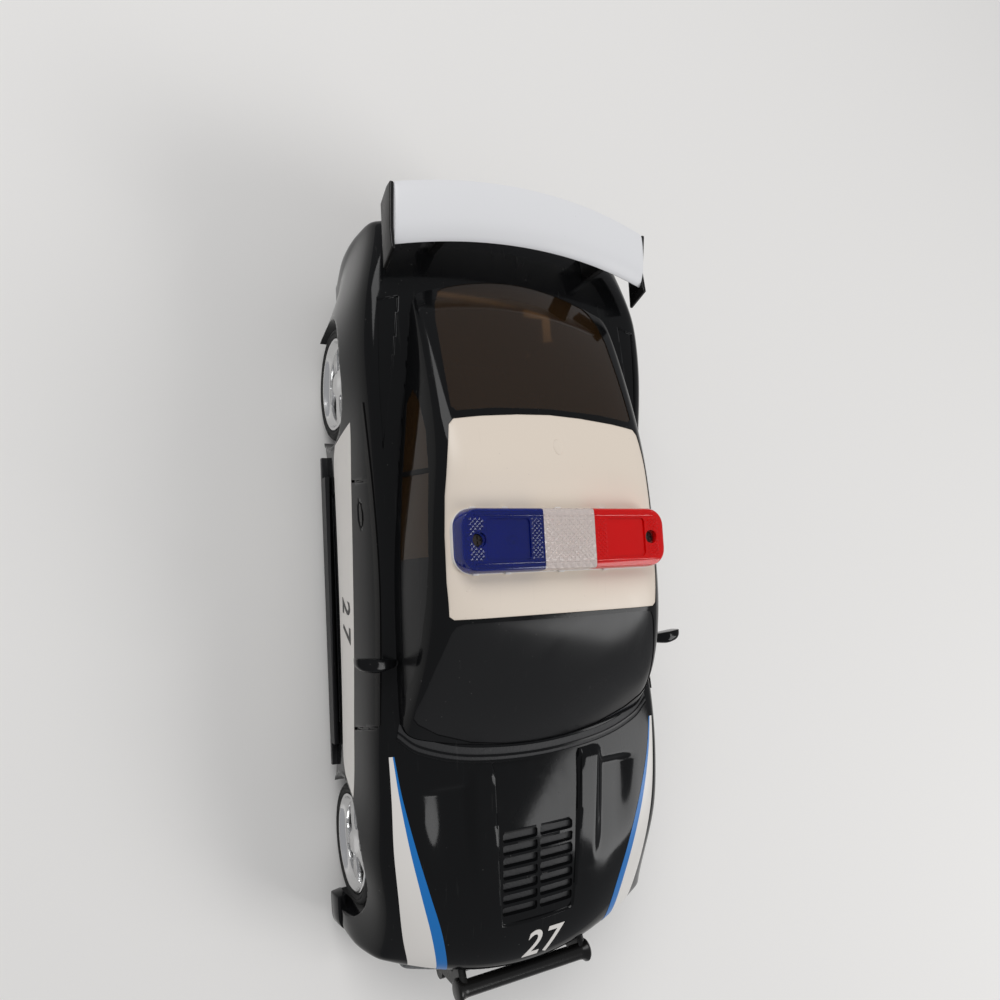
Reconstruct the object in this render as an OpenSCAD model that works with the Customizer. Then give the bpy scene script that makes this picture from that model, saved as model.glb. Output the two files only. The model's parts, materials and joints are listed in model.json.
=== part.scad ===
// Toy police car: moulded shell, tinted cabin, lit roof bar, rear wing and push bar,
// with a push-and-go flywheel drive on the rear axle.
// The front is -Y, the car's left is +X, up is +Z. The origin is on the floor under the middle.

/* [Body] */
// Length over the push bar and the tail
overall_l = 275; // [270:1:280]
// How far the push bar stands ahead of the nose
push_reach = 9; // [8.5:0.5:10]
// Width of the body between the flared wheel arches
body_w = 116; // [115:0.5:118]
// Height of the bonnet at its rear edge
bonnet_h = 62; // [61:0.5:63]
// Height of the lower edge of the sills
sill_z = 9.2; // [9:0.1:9.6]
// Wall of the moulded shell
wall = 2; // [1.6:0.1:2.2]
// How far the nose corners sweep back
nose_sweep = 13.5; // [12:0.5:15]
// How far the tail corners sweep forward
tail_sweep = 5; // [4:0.5:6]
// Depth of the moulded shut lines
groove_d = 0.6; // [0.4:0.1:0.8]
// Width of the moulded shut lines
groove_w = 0.9; // [0.7:0.1:1.2]

/* [Wheels] */
// Distance of the front axle behind the nose
front_set = 44.5; // [44:0.5:45.5]
// Distance between the axles
wheelbase = 166; // [165:0.5:168]
// Width over the outer faces of the tyres
track_w = 111; // [110:0.5:112]
// Outside diameter of the tyres
tyre_d = 42; // [41:0.5:43]
// Width of the tyres
tyre_w = 15; // [14:0.5:16]
// Diameter of the rims
rim_d = 34; // [33:0.5:35]
// Diameter of the steel axles
axle_d = 3; // [2.8:0.1:3.2]
// Room between a tyre and its arch
arch_room = 2.4; // [2:0.2:2.8]

/* [Cabin] */
// Length of the cabin at the belt line
cabin_l = 162; // [160:1:164]
// Distance of the cabin's front edge behind the nose
cabin_set = 81; // [80:0.5:82]
// Width of the cabin at the belt line
cabin_w = 97; // [96:0.5:98]
// Height of the roof above the floor
roof_h = 84; // [83:0.5:85]
// Wall of the tinted cabin
glass_t = 1.6; // [1.4:0.1:1.8]
// Thickness of the white roof panel
roof_t = 1; // [0.8:0.1:1.2]

/* [Roof light bar] */
// Length of the light bar
bar_l = 76.4; // [75:0.2:78]
// Width of the light bar
bar_w = 20; // [19:0.5:21]
// Height of the lenses
lens_h = 5.6; // [5:0.2:6.2]
// Length of the clear middle lens
clear_l = 19; // [17:0.5:21]
// Wall of the lenses
lens_t = 1.2; // [1:0.1:1.4]
// Distance of the bar's middle behind the nose
bar_set = 146.5; // [145:0.5:148]

/* [Rear wing] */
// Span of the blade between its end plates
wing_span = 97; // [95:0.5:99]
// Front-to-back depth of the blade
wing_chord = 19; // [18:0.5:20]
// Height of the blade's ends above the floor
wing_z = 73; // [72:0.5:74]
// Rise of the blade's arch at the middle
wing_rise = 4; // [3:0.5:5]
// How far the blade's middle bows back
wing_bow = 5; // [4:0.5:6]

/* [Push bar] */
// Width over the side plates
push_w = 51; // [49:0.5:53]
// Outside diameter of the tubes
push_tube_d = 5.6; // [5:0.2:6]
// Height of the upper tube's middle
push_z = 43; // [42:0.5:44]

/* [Drive] */
// Tooth module of the gears
gear_module = 0.7; // [0.66:0.01:0.72]
// Teeth of the gear on the rear axle
axle_teeth = 26; // [26]
// Teeth of both pinions
pinion_teeth = 10; // [10]
// Teeth of the large gear of the middle shaft
middle_teeth = 30; // [30]
// Diameter of the flywheel
flywheel_d = 26; // [24:0.5:27]
// Width of the gear teeth
gear_w = 4; // [3.6:0.2:4.2]
// Diameter of the gear pins
pin_d = 2; // [1.8:0.1:2.2]

/* [Battery] */
// Diameter of a cell
cell_d = 10.5; // [10.5:0.1:10.8]
// Length of a cell with its button
cell_l = 44.5; // [44:0.5:45]

/* [Hidden] */

// Smoothness of round parts
$fn = 48;
// Overrun of every cut past the face that it opens
over = 1;
// Seat clearance between fixed pieces
gap = 0.15;
// Running clearance on the radius of a turning piece
run = 0.05;
// Shank radius of the small screws
screw_r = 1.3;

// Body places worked out from the driving sizes
half_w = body_w / 2;
// How far the tail stands inside the wing's rear edge
tail_set = 1;
nose_y = push_reach - overall_l / 2;
tail_y = overall_l / 2 - tail_set;
body_l = tail_y - nose_y;
front_y = nose_y + front_set;
rear_y = front_y + wheelbase;
axle_z = tyre_d / 2;
axle_r = axle_d / 2;
arch_r = tyre_d / 2 + arch_room;
// Wall of the wheel tubs and their room beside the tyres
tub_t = 1.2;
tub_room = 4.5;
tub_x = track_w / 2 - tyre_w - tub_room;
// Spacing of the control net round the corners
corner_step = 3;
cabin_step = 5;
crown_power = 3;
skin_steps = 2;
lining_steps = 1;
cabin_steps = 2;

// Control net of the shell: half width and height of five levels from sill to shoulder
side_shares = [[0.985, 0], [1, 0.3], [0.992, 0.64], [0.965, 0.93], [0.905, 1]];
// Columns of the net between the shoulder and the centre line, as shares of the half width
top_shares = [0.81, 0.52, 0.26, 0];
// Half width of the same levels at the nose and at the tail
nose_width_shares = [1, 1.02, 1, 0.93, 0.85];
tail_width_shares = [0.86, 0.89, 0.89, 0.87, 0.82];
// Nose and tail in side view: how far each level stands back, as a share of the body's length
nose_back_shares = [0.008, 0.001, -0.002, -0.005, 0];
tail_back_shares = [0.02, 0, 0, 0.004, 0.012];
// Nose and tail: shoulder height and crown
nose_height_shares = [0.73, 0.1];
tail_height_shares = [0.94, 0.07];
// Rows from bonnet to boot: place along the body, half width below and at the shoulder, height of
// the shoulder and of the centre line, sweep
row_shares = [
  [0.065, 0.985, 0.965, 0.825, 0.911, 1],
  [0.115, 1.02, 0.995, 0.875, 0.945, 0.75],
  [0.167, 1.07, 1.01, 0.91, 0.968, 0.4],
  [0.235, 0.985, 1.015, 0.943, 0.99, 0.12],
  [0.31, 0.975, 1.02, 0.95, 1.006, 0],
  [0.408, 0.97, 0.975, 0.942, 0.97, 0],
  [0.54, 0.97, 0.945, 0.942, 0.97, 0],
  [0.664, 0.97, 0.985, 0.972, 0.99, 0],
  [0.731, 0.98, 1.01, 1.005, 1.02, 0],
  [0.799, 1.075, 1.02, 1.025, 1.035, 0],
  [0.855, 1.015, 1.01, 1.03, 1.04, 0],
  [0.9, 0.95, 0.99, 1.024, 1.036, -0.3]];

// Cabin places; its foot lies below the bonnet's height
cabin_sink = 8;
cabin_front = nose_y + cabin_set;
cabin_half = cabin_w / 2;
cabin_z = bonnet_h - cabin_sink;
cabin_h = roof_h - cabin_z;
// Three levels of the cabin, belt, mid glass and rail: half width and height
cabin_side_shares = [[1, 0], [0.96, 0.56], [0.855, 1]];
cabin_top_shares = [0.5, 0];
// Screen levels: half width, place of the middle, place of the corner, height, crown
screen_shares = [[1.01, -0.08, 0, 0, 0], [0.955, 0.06, 0.11, 0.56, 0.03],
  [0.86, 0.24, 0.262, 1.02, 0.03]];
// Rear glass levels in the same order
rear_glass_shares = [[0.86, 1.06, 0.99, 0, 0], [0.82, 1, 0.93, 0.36, 0.02],
  [0.815, 0.605, 0.56, 1.09, -0.02]];
// Roof rows: place along the cabin, half width, rail height, centre line
roof_shares = [[0.35, 0.995, 1.03, 1.005], [0.44, 0.975, 1.04, 1.01], [0.52, 0.955, 1.055, 1.01]];

// Surfaces: a net of control points is smoothed into a grid by cubic B-splines
function pad(p) = concat([2 * p[0] - p[1]], p, [2 * p[len(p) - 1] - p[len(p) - 2]]);
function blend(p, k, f) = (pow(1 - f, 3) * p[k] + (3 * pow(f, 3) - 6 * pow(f, 2) + 4) * p[k + 1]
  + (3 * f + 3 * pow(f, 2) - 3 * pow(f, 3) + 1) * p[k + 2] + pow(f, 3) * p[k + 3]) / 6;
function spline(p, steps) = let (q = pad(p), n = len(p) - 1)
  concat([for (k = [0 : n - 1]) for (s = [0 : steps - 1]) blend(q, k, s / steps)], [blend(q, n - 1, 1)]);
function smooth_grid(net, steps) = [for (row = spline(net, steps)) spline(row, steps)];
function both_sides(half) =
  concat(half, [for (k = [len(half) - 2 : -1 : 0]) [-half[k][0], half[k][1], half[k][2]]]);

// A level of an end face is [half width, middle y, corner y, height, crown]
function face_x(w, i, j, levels, tops, step) = j < levels ? w - step * (j - i) : w * tops[j - levels];
function end_point(ends, i, j, tops, step, way) = j <= i
  ? [ends[j][0], ends[j][2] + way * step * (i - j), ends[j][3]]
  : let (e = ends[i], x = face_x(e[0], i, j, len(ends), tops, step), s = x / e[0])
    [x, e[1] + (e[2] - e[1]) * s * s, e[3] + e[4] * (1 - pow(s, crown_power))];
// A middle row is [half width below, y, sweep, base, shoulder and centre heights, half width above]
function row_point(row, j, sides, tops) = let (levels = len(sides), shoulder = sides[levels - 1][0],
    s = j < levels ? sides[j][0] : tops[j - levels], t = j < levels ? pow(sides[j][1], 2) : 1)
  [(row[0] + (row[6] - row[0]) * t) * s, row[1] + row[2] * s * s,
    j < levels ? row[3] + (row[4] - row[3]) * sides[j][1]
    : row[4] + (row[5] - row[4]) * (1 - pow(s / shoulder, crown_power))];
// The net lies over the part like a cloth: front levels, middle rows, rear levels
function drape(front, rows, rear, sides, tops, step) =
  let (levels = len(sides), count = len(rows) + 2 * levels, last = levels + len(tops) - 1)
  [for (i = [0 : count - 1]) both_sides([for (j = [0 : last]) i < levels
    ? end_point(front, i, j, tops, step, 1) : i < count - levels
    ? row_point(rows[i - levels], j, sides, tops) : end_point(rear, count - 1 - i, j, tops, step, -1)])];

// Net of the shell, drawn in by a wall thickness for its lining
function shell_foot(inset) = inset > 0 ? sill_z - over : sill_z;
function shell_end(face_y, widths, backs, heights, sweep, way, inset) = let (foot = shell_foot(inset))
  [for (k = [0 : len(side_shares) - 1]) let (y = face_y + way * (backs[k] * body_l + inset))
    [half_w * widths[k] - inset, y, y + way * sweep,
      foot + (bonnet_h * heights[0] - inset - foot) * side_shares[k][1],
      k == len(side_shares) - 1 ? bonnet_h * heights[1] : 0]];
function shell_net(inset) = drape(
  shell_end(nose_y, nose_width_shares, nose_back_shares, nose_height_shares, nose_sweep, 1, inset),
  [for (r = row_shares) [half_w * r[1] - inset, nose_y + body_l * r[0],
    r[5] < 0 ? r[5] * tail_sweep : r[5] * nose_sweep, shell_foot(inset),
    bonnet_h * r[3] - inset, bonnet_h * r[4] - inset, half_w * r[2] - inset]],
  shell_end(tail_y, tail_width_shares, tail_back_shares, tail_height_shares, tail_sweep, -1, inset),
  side_shares, top_shares, corner_step);

// Net of the cabin, drawn in for its lining or spread for the opening that it passes through
function cabin_end(shares, way, inset) = [for (s = shares)
  [cabin_half * s[0] - inset, cabin_front + cabin_l * s[1] + way * inset,
    cabin_front + cabin_l * s[2] + way * inset,
    s[3] > 0 ? cabin_z + cabin_h * s[3] - inset : cabin_z, cabin_h * s[4]]];
function cabin_net(inset) = drape(cabin_end(screen_shares, 1, inset),
  [for (r = roof_shares) [cabin_half * r[1] - inset, cabin_front + cabin_l * r[0], 0, cabin_z,
    cabin_z + cabin_h * r[2] - inset, cabin_z + cabin_h * r[3] - inset, cabin_half * r[1] - inset]],
  cabin_end(rear_glass_shares, -1, inset), cabin_side_shares, cabin_top_shares, cabin_step);

// Closed solid under a grid whose rim lies in one plane
module draped(grid) {
  rows = len(grid);
  cols = len(grid[0]);
  skin = [for (i = [0 : rows - 2]) for (j = [0 : cols - 2]) let (a = i * cols + j)
    each [[a, a + 1, a + cols + 1], [a, a + cols + 1, a + cols]]];
  rim = concat([for (j = [cols - 1 : -1 : 0]) j], [for (i = [1 : rows - 1]) i * cols],
    [for (j = [1 : cols - 1]) (rows - 1) * cols + j],
    [for (i = [rows - 2 : -1 : 1]) i * cols + cols - 1]);
  polyhedron([for (row = grid) each row], concat(skin, [rim]));
}
// Part of a grid, rows i0 to i1 and columns j0 to j1, as a plate of even depth
module patch(grid, i0, i1, j0, j1, rise, depth) {
  m = j1 - j0 + 1;
  n = i1 - i0 + 1;
  below = n * m * [1, 1, 1];
  lid = [for (i = [i0 : i1]) for (j = [j0 : j1]) grid[i][j] + [0, 0, rise]];
  under = [for (p = lid) p - [0, 0, depth]];
  quads = [for (i = [0 : n - 2]) for (j = [0 : m - 2]) let (a = i * m + j) [a, a + 1, a + m + 1, a + m]];
  rim = concat([for (j = [0 : m - 1]) j], [for (i = [1 : n - 1]) i * m + m - 1],
    [for (j = [m - 2 : -1 : 0]) (n - 1) * m + j], [for (i = [n - 2 : -1 : 1]) i * m]);
  polyhedron(concat(lid, under), concat(
    [for (q = quads) each [[q[0], q[1], q[2]], [q[0], q[2], q[3]]]],
    [for (q = quads) each [[q[2], q[1], q[0]] + below, [q[3], q[2], q[0]] + below]],
    [for (k = [0 : len(rim) - 1]) let (a = rim[k], b = rim[(k + 1) % len(rim)])
      each [[a, b + n * m, b], [a, a + n * m, b + n * m]]]));
}
module shell_solid() draped(smooth_grid(shell_net(0), skin_steps));
module shell_lining(inset) draped(smooth_grid(shell_net(inset), lining_steps));
module lowered_shell(d) translate([0, 0, -d]) shell_solid();
module cabin_solid(inset) draped(smooth_grid(cabin_net(inset), cabin_steps));

// Small shared shapes
module along_x(x) translate([x, 0, 0]) rotate([90, 0, 90]) children();
module rod_x(x0, x1, y, z, r) translate([x0, y, z]) rotate([0, 90, 0]) cylinder(h = x1 - x0, r = r);
module block(x0, x1, y0, y1, z0, z1) translate([x0, y0, z0]) cube([x1 - x0, y1 - y0, z1 - z0]);
module rounded(l, w, r) {
  square([l - 2 * r, w], center = true);
  square([l, w - 2 * r], center = true);
  for (x = [-1, 1]) for (y = [-1, 1]) translate([x * (l / 2 - r), y * (w / 2 - r)]) circle(r);
}
module mirrored() {
  children();
  mirror([1, 0, 0]) children();
}
// A strip of even width along a run of points
module strip(points, w) for (k = [0 : len(points) - 2])
  hull() for (p = [points[k], points[k + 1]]) translate(p) circle(w / 2, $fn = 6);
// A screw standing on the plane of its head, shank downwards
module screw(head_r, head_h, shank) {
  cylinder(h = head_h, r = head_r);
  translate([0, 0, -shank]) cylinder(h = shank, r = screw_r - run);
}

// Bonnet: a sunk centre panel between two ridges, with louvres in two columns
panel_d = 0.8;
panel_r = 3;
panel_back_set = 77;
panel_front_set = 17.5;
panel_back_half = 17.4;
panel_front_half = 14.5;
ridge_h = 1.6;
ridge_w = 8.5;
ridge_fade = 14;
louvre_rows = 7;
louvre_back_set = 50;
louvre_front_set = 20.5;
louvre_half = 13.6;
louvre_web = 1.7;
louvre_l = 2.3;
louvre_d = 1.5;
panel_back = nose_y + panel_back_set;
panel_front = nose_y + panel_front_set;
module bonnet_panel() translate([0, 0, sill_z]) linear_extrude(bonnet_h) hull() mirrored() {
  translate([panel_back_half - panel_r, panel_back - panel_r]) circle(panel_r, $fn = 12);
  translate([panel_front_half - panel_r, panel_front + panel_r]) circle(panel_r, $fn = 12);
}
// The ridges rise from nothing at their front to their full height at the cowl
ridge_front = panel_front + ridge_fade;
ridge_slope = atan(ridge_h / (panel_back - ridge_front));
module raised_shell() translate([0, ridge_front, 0]) rotate([ridge_slope, 0, 0])
  translate([0, -ridge_front, 0]) shell_solid();
module bonnet_ridges() translate([0, 0, sill_z]) linear_extrude(bonnet_h) mirrored() hull() {
  translate([panel_back_half + ridge_w / 2, panel_back]) circle(ridge_w / 2, $fn = 24);
  translate([panel_front_half + ridge_w / 2, ridge_front]) circle(ridge_w / 2, $fn = 24);
}
module louvres() {
  pitch = (louvre_back_set - louvre_front_set) / louvre_rows;
  first = nose_y + louvre_front_set + pitch / 2;
  translate([0, 0, sill_z]) linear_extrude(bonnet_h) for (k = [0 : louvre_rows - 1]) mirrored() hull()
    for (x = [louvre_web + louvre_l / 2, louvre_half - louvre_l / 2])
      translate([x, first + k * pitch]) circle(louvre_l / 2, $fn = 8);
}

// Doors, moulded as shut lines and a handle recess
door_front_set = 86.5;
door_rear_set = 169;
door_foot = 5.6;
door_waist = 24;
door_lean = 3.2;
belt_drop = 6;
handle_set = 158.8;
handle_drop = 8.6;
handle_l = 8.5;
handle_h = 3.7;
belt_z = bonnet_h - belt_drop;
handle_z = belt_z - handle_drop;
door_front = nose_y + door_front_set;
door_rear = nose_y + door_rear_set;
module side_lines() rotate([90, 0, 90]) linear_extrude(half_w + over) {
  strip([[door_front, sill_z + door_foot], [door_front, sill_z + door_waist],
    [door_front + door_lean, belt_z]], groove_w);
  strip([[door_rear, sill_z + door_foot], [door_rear + door_lean, sill_z + door_waist],
    [door_rear, belt_z]], groove_w);
  strip([[door_front, sill_z + door_foot], [door_rear, sill_z + door_foot]], groove_w);
  translate([nose_y + handle_set, handle_z]) hull() for (s = [-1, 1])
    translate([s * (handle_l - handle_h) / 2, 0]) circle(handle_h / 2, $fn = 10);
}

// Screw bosses and wheel tubs inside the shell
boss_r = 3;
boss_x = 30;
boss_front_set = 20;
boss_rear_set = 12;
boss_bore = 22;
boss_places = [for (x = [-boss_x, boss_x])
  for (y = [nose_y + boss_front_set, tail_y - boss_rear_set]) [x, y]];
module wheel_places() for (y = [front_y, rear_y]) for (s = [0, 1])
  mirror([s, 0, 0]) translate([0, y, axle_z]) children();
module arch_bore(x0, r) rod_x(x0, half_w + tyre_w, 0, 0, r);
module wheel_tubs() wheel_places() difference($fn = 24) {
  arch_bore(tub_x - tub_t, arch_r + tub_t);
  arch_bore(tub_x, arch_r);
  rod_x(tub_x - tub_t - over, tub_x + over, 0, 0, 2 * axle_r);
  block(tub_x - tub_t - over, tub_x + over, -2 * axle_r, 2 * axle_r, -axle_z, 0);
}
module bosses() for (p = boss_places)
  translate([p[0], p[1], sill_z]) cylinder(h = bonnet_h, r = boss_r, $fn = 12);
module boss_holes() for (p = boss_places)
  translate([p[0], p[1], sill_z - over]) cylinder(h = boss_bore + over, r = screw_r, $fn = 12);

// Moulded body shell
module body_shell() color("#17181b") difference() {
  union() {
    difference() {
      union() {
        shell_solid();
        intersection() {
          raised_shell();
          bonnet_ridges();
        }
      }
      shell_lining(wall);
    }
    intersection() {
      shell_lining(wall / 2);
      block(-body_w, body_w, nose_y + wall, tail_y - wall, sill_z, roof_h);
      union() {
        bosses();
        wheel_tubs();
      }
    }
  }
  wheel_places() arch_bore(tub_x, arch_r);
  boss_holes();
  cabin_solid(-gap);
  difference() {
    bonnet_panel();
    lowered_shell(panel_d);
  }
  difference() {
    louvres();
    lowered_shell(louvre_d);
  }
  for (s = [0, 1]) mirror([s, 0, 0]) difference() {
    side_lines();
    translate([-groove_d, 0, 0]) shell_solid();
  }
  mirrored() mirror_peg(gap);
  mirrored() strut_tenon(gap);
  mirrored() push_plate(gap);
  mirrored() headlamp(gap);
  mirrored() tail_lamp(gap);
  grille_block(-wall, gap);
}

// Tinted cabin moulding with its flange under the shell and eight locating tabs
flange_w = 3.2;
tab_r = 1.8;
tab_l = 9;
tab_shares = [0.15, 0.4, 0.62, 0.84];
cabin_grid = smooth_grid(cabin_net(0), cabin_steps);
roof_i0 = 2 * cabin_steps;
roof_i1 = (len(roof_shares) + 3) * cabin_steps;
roof_j0 = 2 * cabin_steps;
roof_j1 = 6 * cabin_steps;
module cabin_tabs() for (s = tab_shares) mirrored() hull() for (x = [0, tab_l])
  translate([cabin_half - tab_l + x, cabin_front + cabin_l * s, cabin_z - cabin_sink])
    cylinder(h = 2 * cabin_sink, r = tab_r, $fn = 12);
module bar_screw_holes() for (x = bar_screw_x * [-1, 1])
  translate([x, bar_y, cabin_z]) cylinder(h = cabin_h + lens_h, r = screw_r, $fn = 24);
module window_canopy() color("#4a4038", 0.65) difference() {
  union() {
    cabin_solid(0);
    difference() {
      intersection() {
        shell_lining(wall + gap);
        union() {
          cabin_solid(-flange_w);
          cabin_tabs();
        }
      }
      translate([0, 0, -glass_t]) shell_lining(wall + gap);
    }
  }
  cabin_solid(glass_t);
  translate([0, 0, -over]) cabin_solid(glass_t);
  patch(cabin_grid, roof_i0, roof_i1, roof_j0, roof_j1, over, roof_t + over);
  bar_screw_holes();
  mirrored() mirror_peg(gap);
  mirrored() strut_tenon(gap);
}
module roof_panel() color("#f1f0ec") difference() {
  patch(cabin_grid, roof_i0, roof_i1, roof_j0, roof_j1, 0, roof_t - gap / 2);
  bar_screw_holes();
}

// Door mirrors: a wedge-shaped blade with a peg into the shell
mirror_set = 110;
mirror_drop = 0.6;
mirror_reach = 63;
mirror_root = 50.2;
mirror_h = 7;
mirror_l = 7;
mirror_peg_r = 1.2;
mirror_peg_l = 8;
mirror_y = nose_y + mirror_set;
mirror_z = bonnet_h - mirror_drop;
// Round corners of the blade: place outwards, back and up, and radius
mirror_corner_shares = [[0, 0, 0, 0.18], [0.16, 0.14, 0.46, 0.2], [0.5, -0.36, 0.1, 0.22],
  [0.6, 0.2, 0.62, 0.18], [1, 0.3, 0.46, 0.15], [0.94, 0.24, -0.06, 0.13]];
module mirror_peg(room) translate([mirror_root, mirror_y, mirror_z - mirror_peg_l])
  cylinder(h = mirror_peg_l, r = mirror_peg_r + room);
module mirror_pod() {
  mirror_peg(0);
  hull() for (s = mirror_corner_shares) let (r = s[3] * mirror_h)
    translate([mirror_root + s[0] * (mirror_reach - r - mirror_root), mirror_y + s[1] * mirror_l,
      mirror_z + s[2] * mirror_h]) sphere(r, $fn = 12);
}
module mirror_left() color("#1d1e21") mirror_pod();
module mirror_right() color("#1d1e21") mirror([1, 0, 0]) mirror_pod();

// Roof light bar: a tray that follows the roof, three lenses, two screws and the lamps
bar_end_r = 6;
bar_rise = 1.3;
bar_screw_x = 32;
bar_boss_r = 2.1;
bar_boss_h = 2.8;
bar_head_h = 0.9;
bar_shank = 9;
bar_tab_l = 1.2;
bar_tab_shares = [-0.4, -0.24, 0.04, 0.29];
led_r = 1.5;
led_h = 1.7;
led_x = 18.7;
bar_y = nose_y + bar_set;
bar_seat = roof_h + bar_rise;
lens_profile_shares = [[-1.1, -1], [-1.1, 0], [-0.93, 0.76], [-0.8, 0.94], [-0.62, 1], [0.62, 1], [0.8, 0.94],
  [0.93, 0.76], [1.1, 0], [1.1, -1]];
module bar_plan(inset) translate([0, bar_y])
  rounded(bar_l - 2 * inset, bar_w - 2 * inset, bar_end_r - inset);
module bar_hull(inset) intersection() {
  translate([0, 0, bar_seat - over]) linear_extrude(lens_h + over - inset) bar_plan(inset);
  along_x(-bar_l) linear_extrude(2 * bar_l) translate([bar_y, bar_seat])
    polygon([for (p = lens_profile_shares) [p[0] * (bar_w / 2 - inset), p[1] * (lens_h - inset)]]);
}
module lightbar_base() color("#dfe3e6") difference($fn = 16) {
  union() {
    translate([0, 0, roof_h - cabin_sink]) linear_extrude(bar_seat - roof_h + cabin_sink) bar_plan(0);
    for (x = bar_screw_x * [-1, 1]) translate([x, bar_y, bar_seat - over])
      cylinder(h = bar_boss_h + over, r = bar_boss_r);
    for (s = [-1, 1]) for (t = bar_tab_shares) hull() for (e = [0, bar_tab_l / 2])
      translate([bar_l * t, bar_y + s * (bar_w / 2 - lens_t - bar_tab_l - gap + e), bar_seat - over])
        cylinder(h = over + bar_tab_l, r = bar_tab_l / 2, $fn = 8);
  }
  translate([0, 0, gap / 2]) cabin_solid(0);
  bar_screw_holes();
  for (x = led_x * [-1, 1]) translate([x, bar_y, cabin_z]) cylinder(h = cabin_h + lens_h, r = led_r + gap);
}
module lens(x0, x1) difference() {
  bar_hull(0);
  bar_hull(lens_t);
  block(-bar_l, x0, bar_y - bar_w, bar_y + bar_w, cabin_z, roof_h + 2 * lens_h);
  block(x1, bar_l, bar_y - bar_w, bar_y + bar_w, cabin_z, roof_h + 2 * lens_h);
  block(-bar_l, bar_l, bar_y - bar_w, bar_y + bar_w, cabin_z, bar_seat);
}
module lens_blue() color("#1646c8", 0.7) lens(-bar_l / 2 - over, -clear_l / 2 - gap / 2);
module lens_clear() color("#e8eef0", 0.5) lens(-clear_l / 2, clear_l / 2);
module lens_red() color("#c81420", 0.7) lens(clear_l / 2 + gap / 2, bar_l / 2 + over);
module lightbar_screws() color("silver") for (x = bar_screw_x * [-1, 1])
  translate([x, bar_y, bar_seat + bar_boss_h]) screw(bar_boss_r, bar_head_h, bar_shank);
module leds() color("#f5f6e8") for (x = led_x * [-1, 1]) translate([x, bar_y, bar_seat - bar_rise / 2]) {
  cylinder(h = led_h, r = led_r);
  translate([0, 0, led_h]) sphere(led_r);
}

// Rear wing: a blade bowed on a tilted arc, two struts and two end plates
wing_t = 2.5;
wing_tilt = 2.2;
plate_t = 1.4;
plate_drop = 6.4;
plate_rise = 3.6;
plate_lead = 5.5;
strut_t = 2.8;
strut_x = 30;
strut_l = 10.5;
strut_set = 4;
strut_sink = 5;
wing_sag = sqrt(wing_bow * wing_bow + wing_rise * wing_rise);
wing_r = (wing_span * wing_span / 4 + wing_sag * wing_sag) / (2 * wing_sag);
wing_lean = atan2(wing_rise, wing_bow);
wing_angle = asin((wing_span / 2 + over) / (wing_r - over));
wing_mid_y = overall_l / 2 - wing_chord;
wing_mid_z = wing_z + wing_rise;
wing_y = wing_mid_y - wing_bow;
wing_profile_shares = [[0, 0], [0.06, 0.5], [0.25, 1], [0.55, 1.05], [0.85, 0.8], [1, 0.45], [1, 0.1],
  [0.6, -0.1], [0.2, -0.15]];
// Room for the blade that is cut from the top of a strut
strut_cut_shares = [[-1, -0.2], [0.2, -0.22], [0.6, -0.17], [1, 0], [2, 0.2], [2, 20], [-1, 20]];
// Sweeps a profile of [back, up] points round the wing's arc
module wing_arc(points)
  translate([0, wing_mid_y - wing_r * cos(wing_lean), wing_mid_z - wing_r * sin(wing_lean)])
  rotate([wing_lean, 0, 0]) rotate([0, 0, 90 - wing_angle]) rotate_extrude(angle = 2 * wing_angle, $fn = 360)
    polygon([for (p = points) [wing_r + p[0] * cos(wing_lean) + p[1] * sin(wing_lean),
      p[1] * cos(wing_lean) - p[0] * sin(wing_lean)]]);
function wing_point(share) = [share[0] * wing_chord, share[1] * wing_t + share[0] * wing_tilt];
module wing_blade() color("#f4f3ef") intersection() {
  wing_arc([for (p = wing_profile_shares) wing_point(p)]);
  block(-wing_span / 2, wing_span / 2, wing_y - wing_chord, overall_l, 0, 2 * wing_z);
}
module end_plate() along_x(wing_span / 2 + gap / 2) linear_extrude(plate_t) polygon([
  [wing_y - plate_lead, wing_z - plate_drop], [wing_y + wing_chord - plate_lead / 2, wing_z - plate_drop],
  [wing_y + wing_chord, wing_z], [wing_y + wing_chord, wing_z + plate_rise],
  [wing_y + plate_lead, wing_z + plate_rise - wing_tilt], [wing_y - wing_tilt, wing_z + wing_t]]);
module wing_endplate_left() color("#1b1c1f") end_plate();
module wing_endplate_right() color("#1b1c1f") mirror([1, 0, 0]) end_plate();
module strut_tenon(room) block(strut_x - room, strut_x + strut_t + room, wing_y + strut_set - room,
  wing_y + strut_set + strut_l + room, bonnet_h - strut_sink, bonnet_h + strut_sink);
module strut() difference() {
  along_x(strut_x) linear_extrude(strut_t) polygon([
    [wing_y + strut_set, bonnet_h - strut_sink], [wing_y + strut_set + strut_l, bonnet_h - strut_sink],
    [wing_y + strut_set + strut_l, bonnet_h + strut_sink / 2], [wing_y + wing_chord, wing_mid_z + wing_chord],
    [wing_y + strut_set, wing_mid_z + wing_chord]]);
  wing_arc([for (p = strut_cut_shares) wing_point(p)]);
}
module wing_strut_left() color("#1b1c1f") strut();
module wing_strut_right() color("#1b1c1f") mirror([1, 0, 0]) strut();

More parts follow.
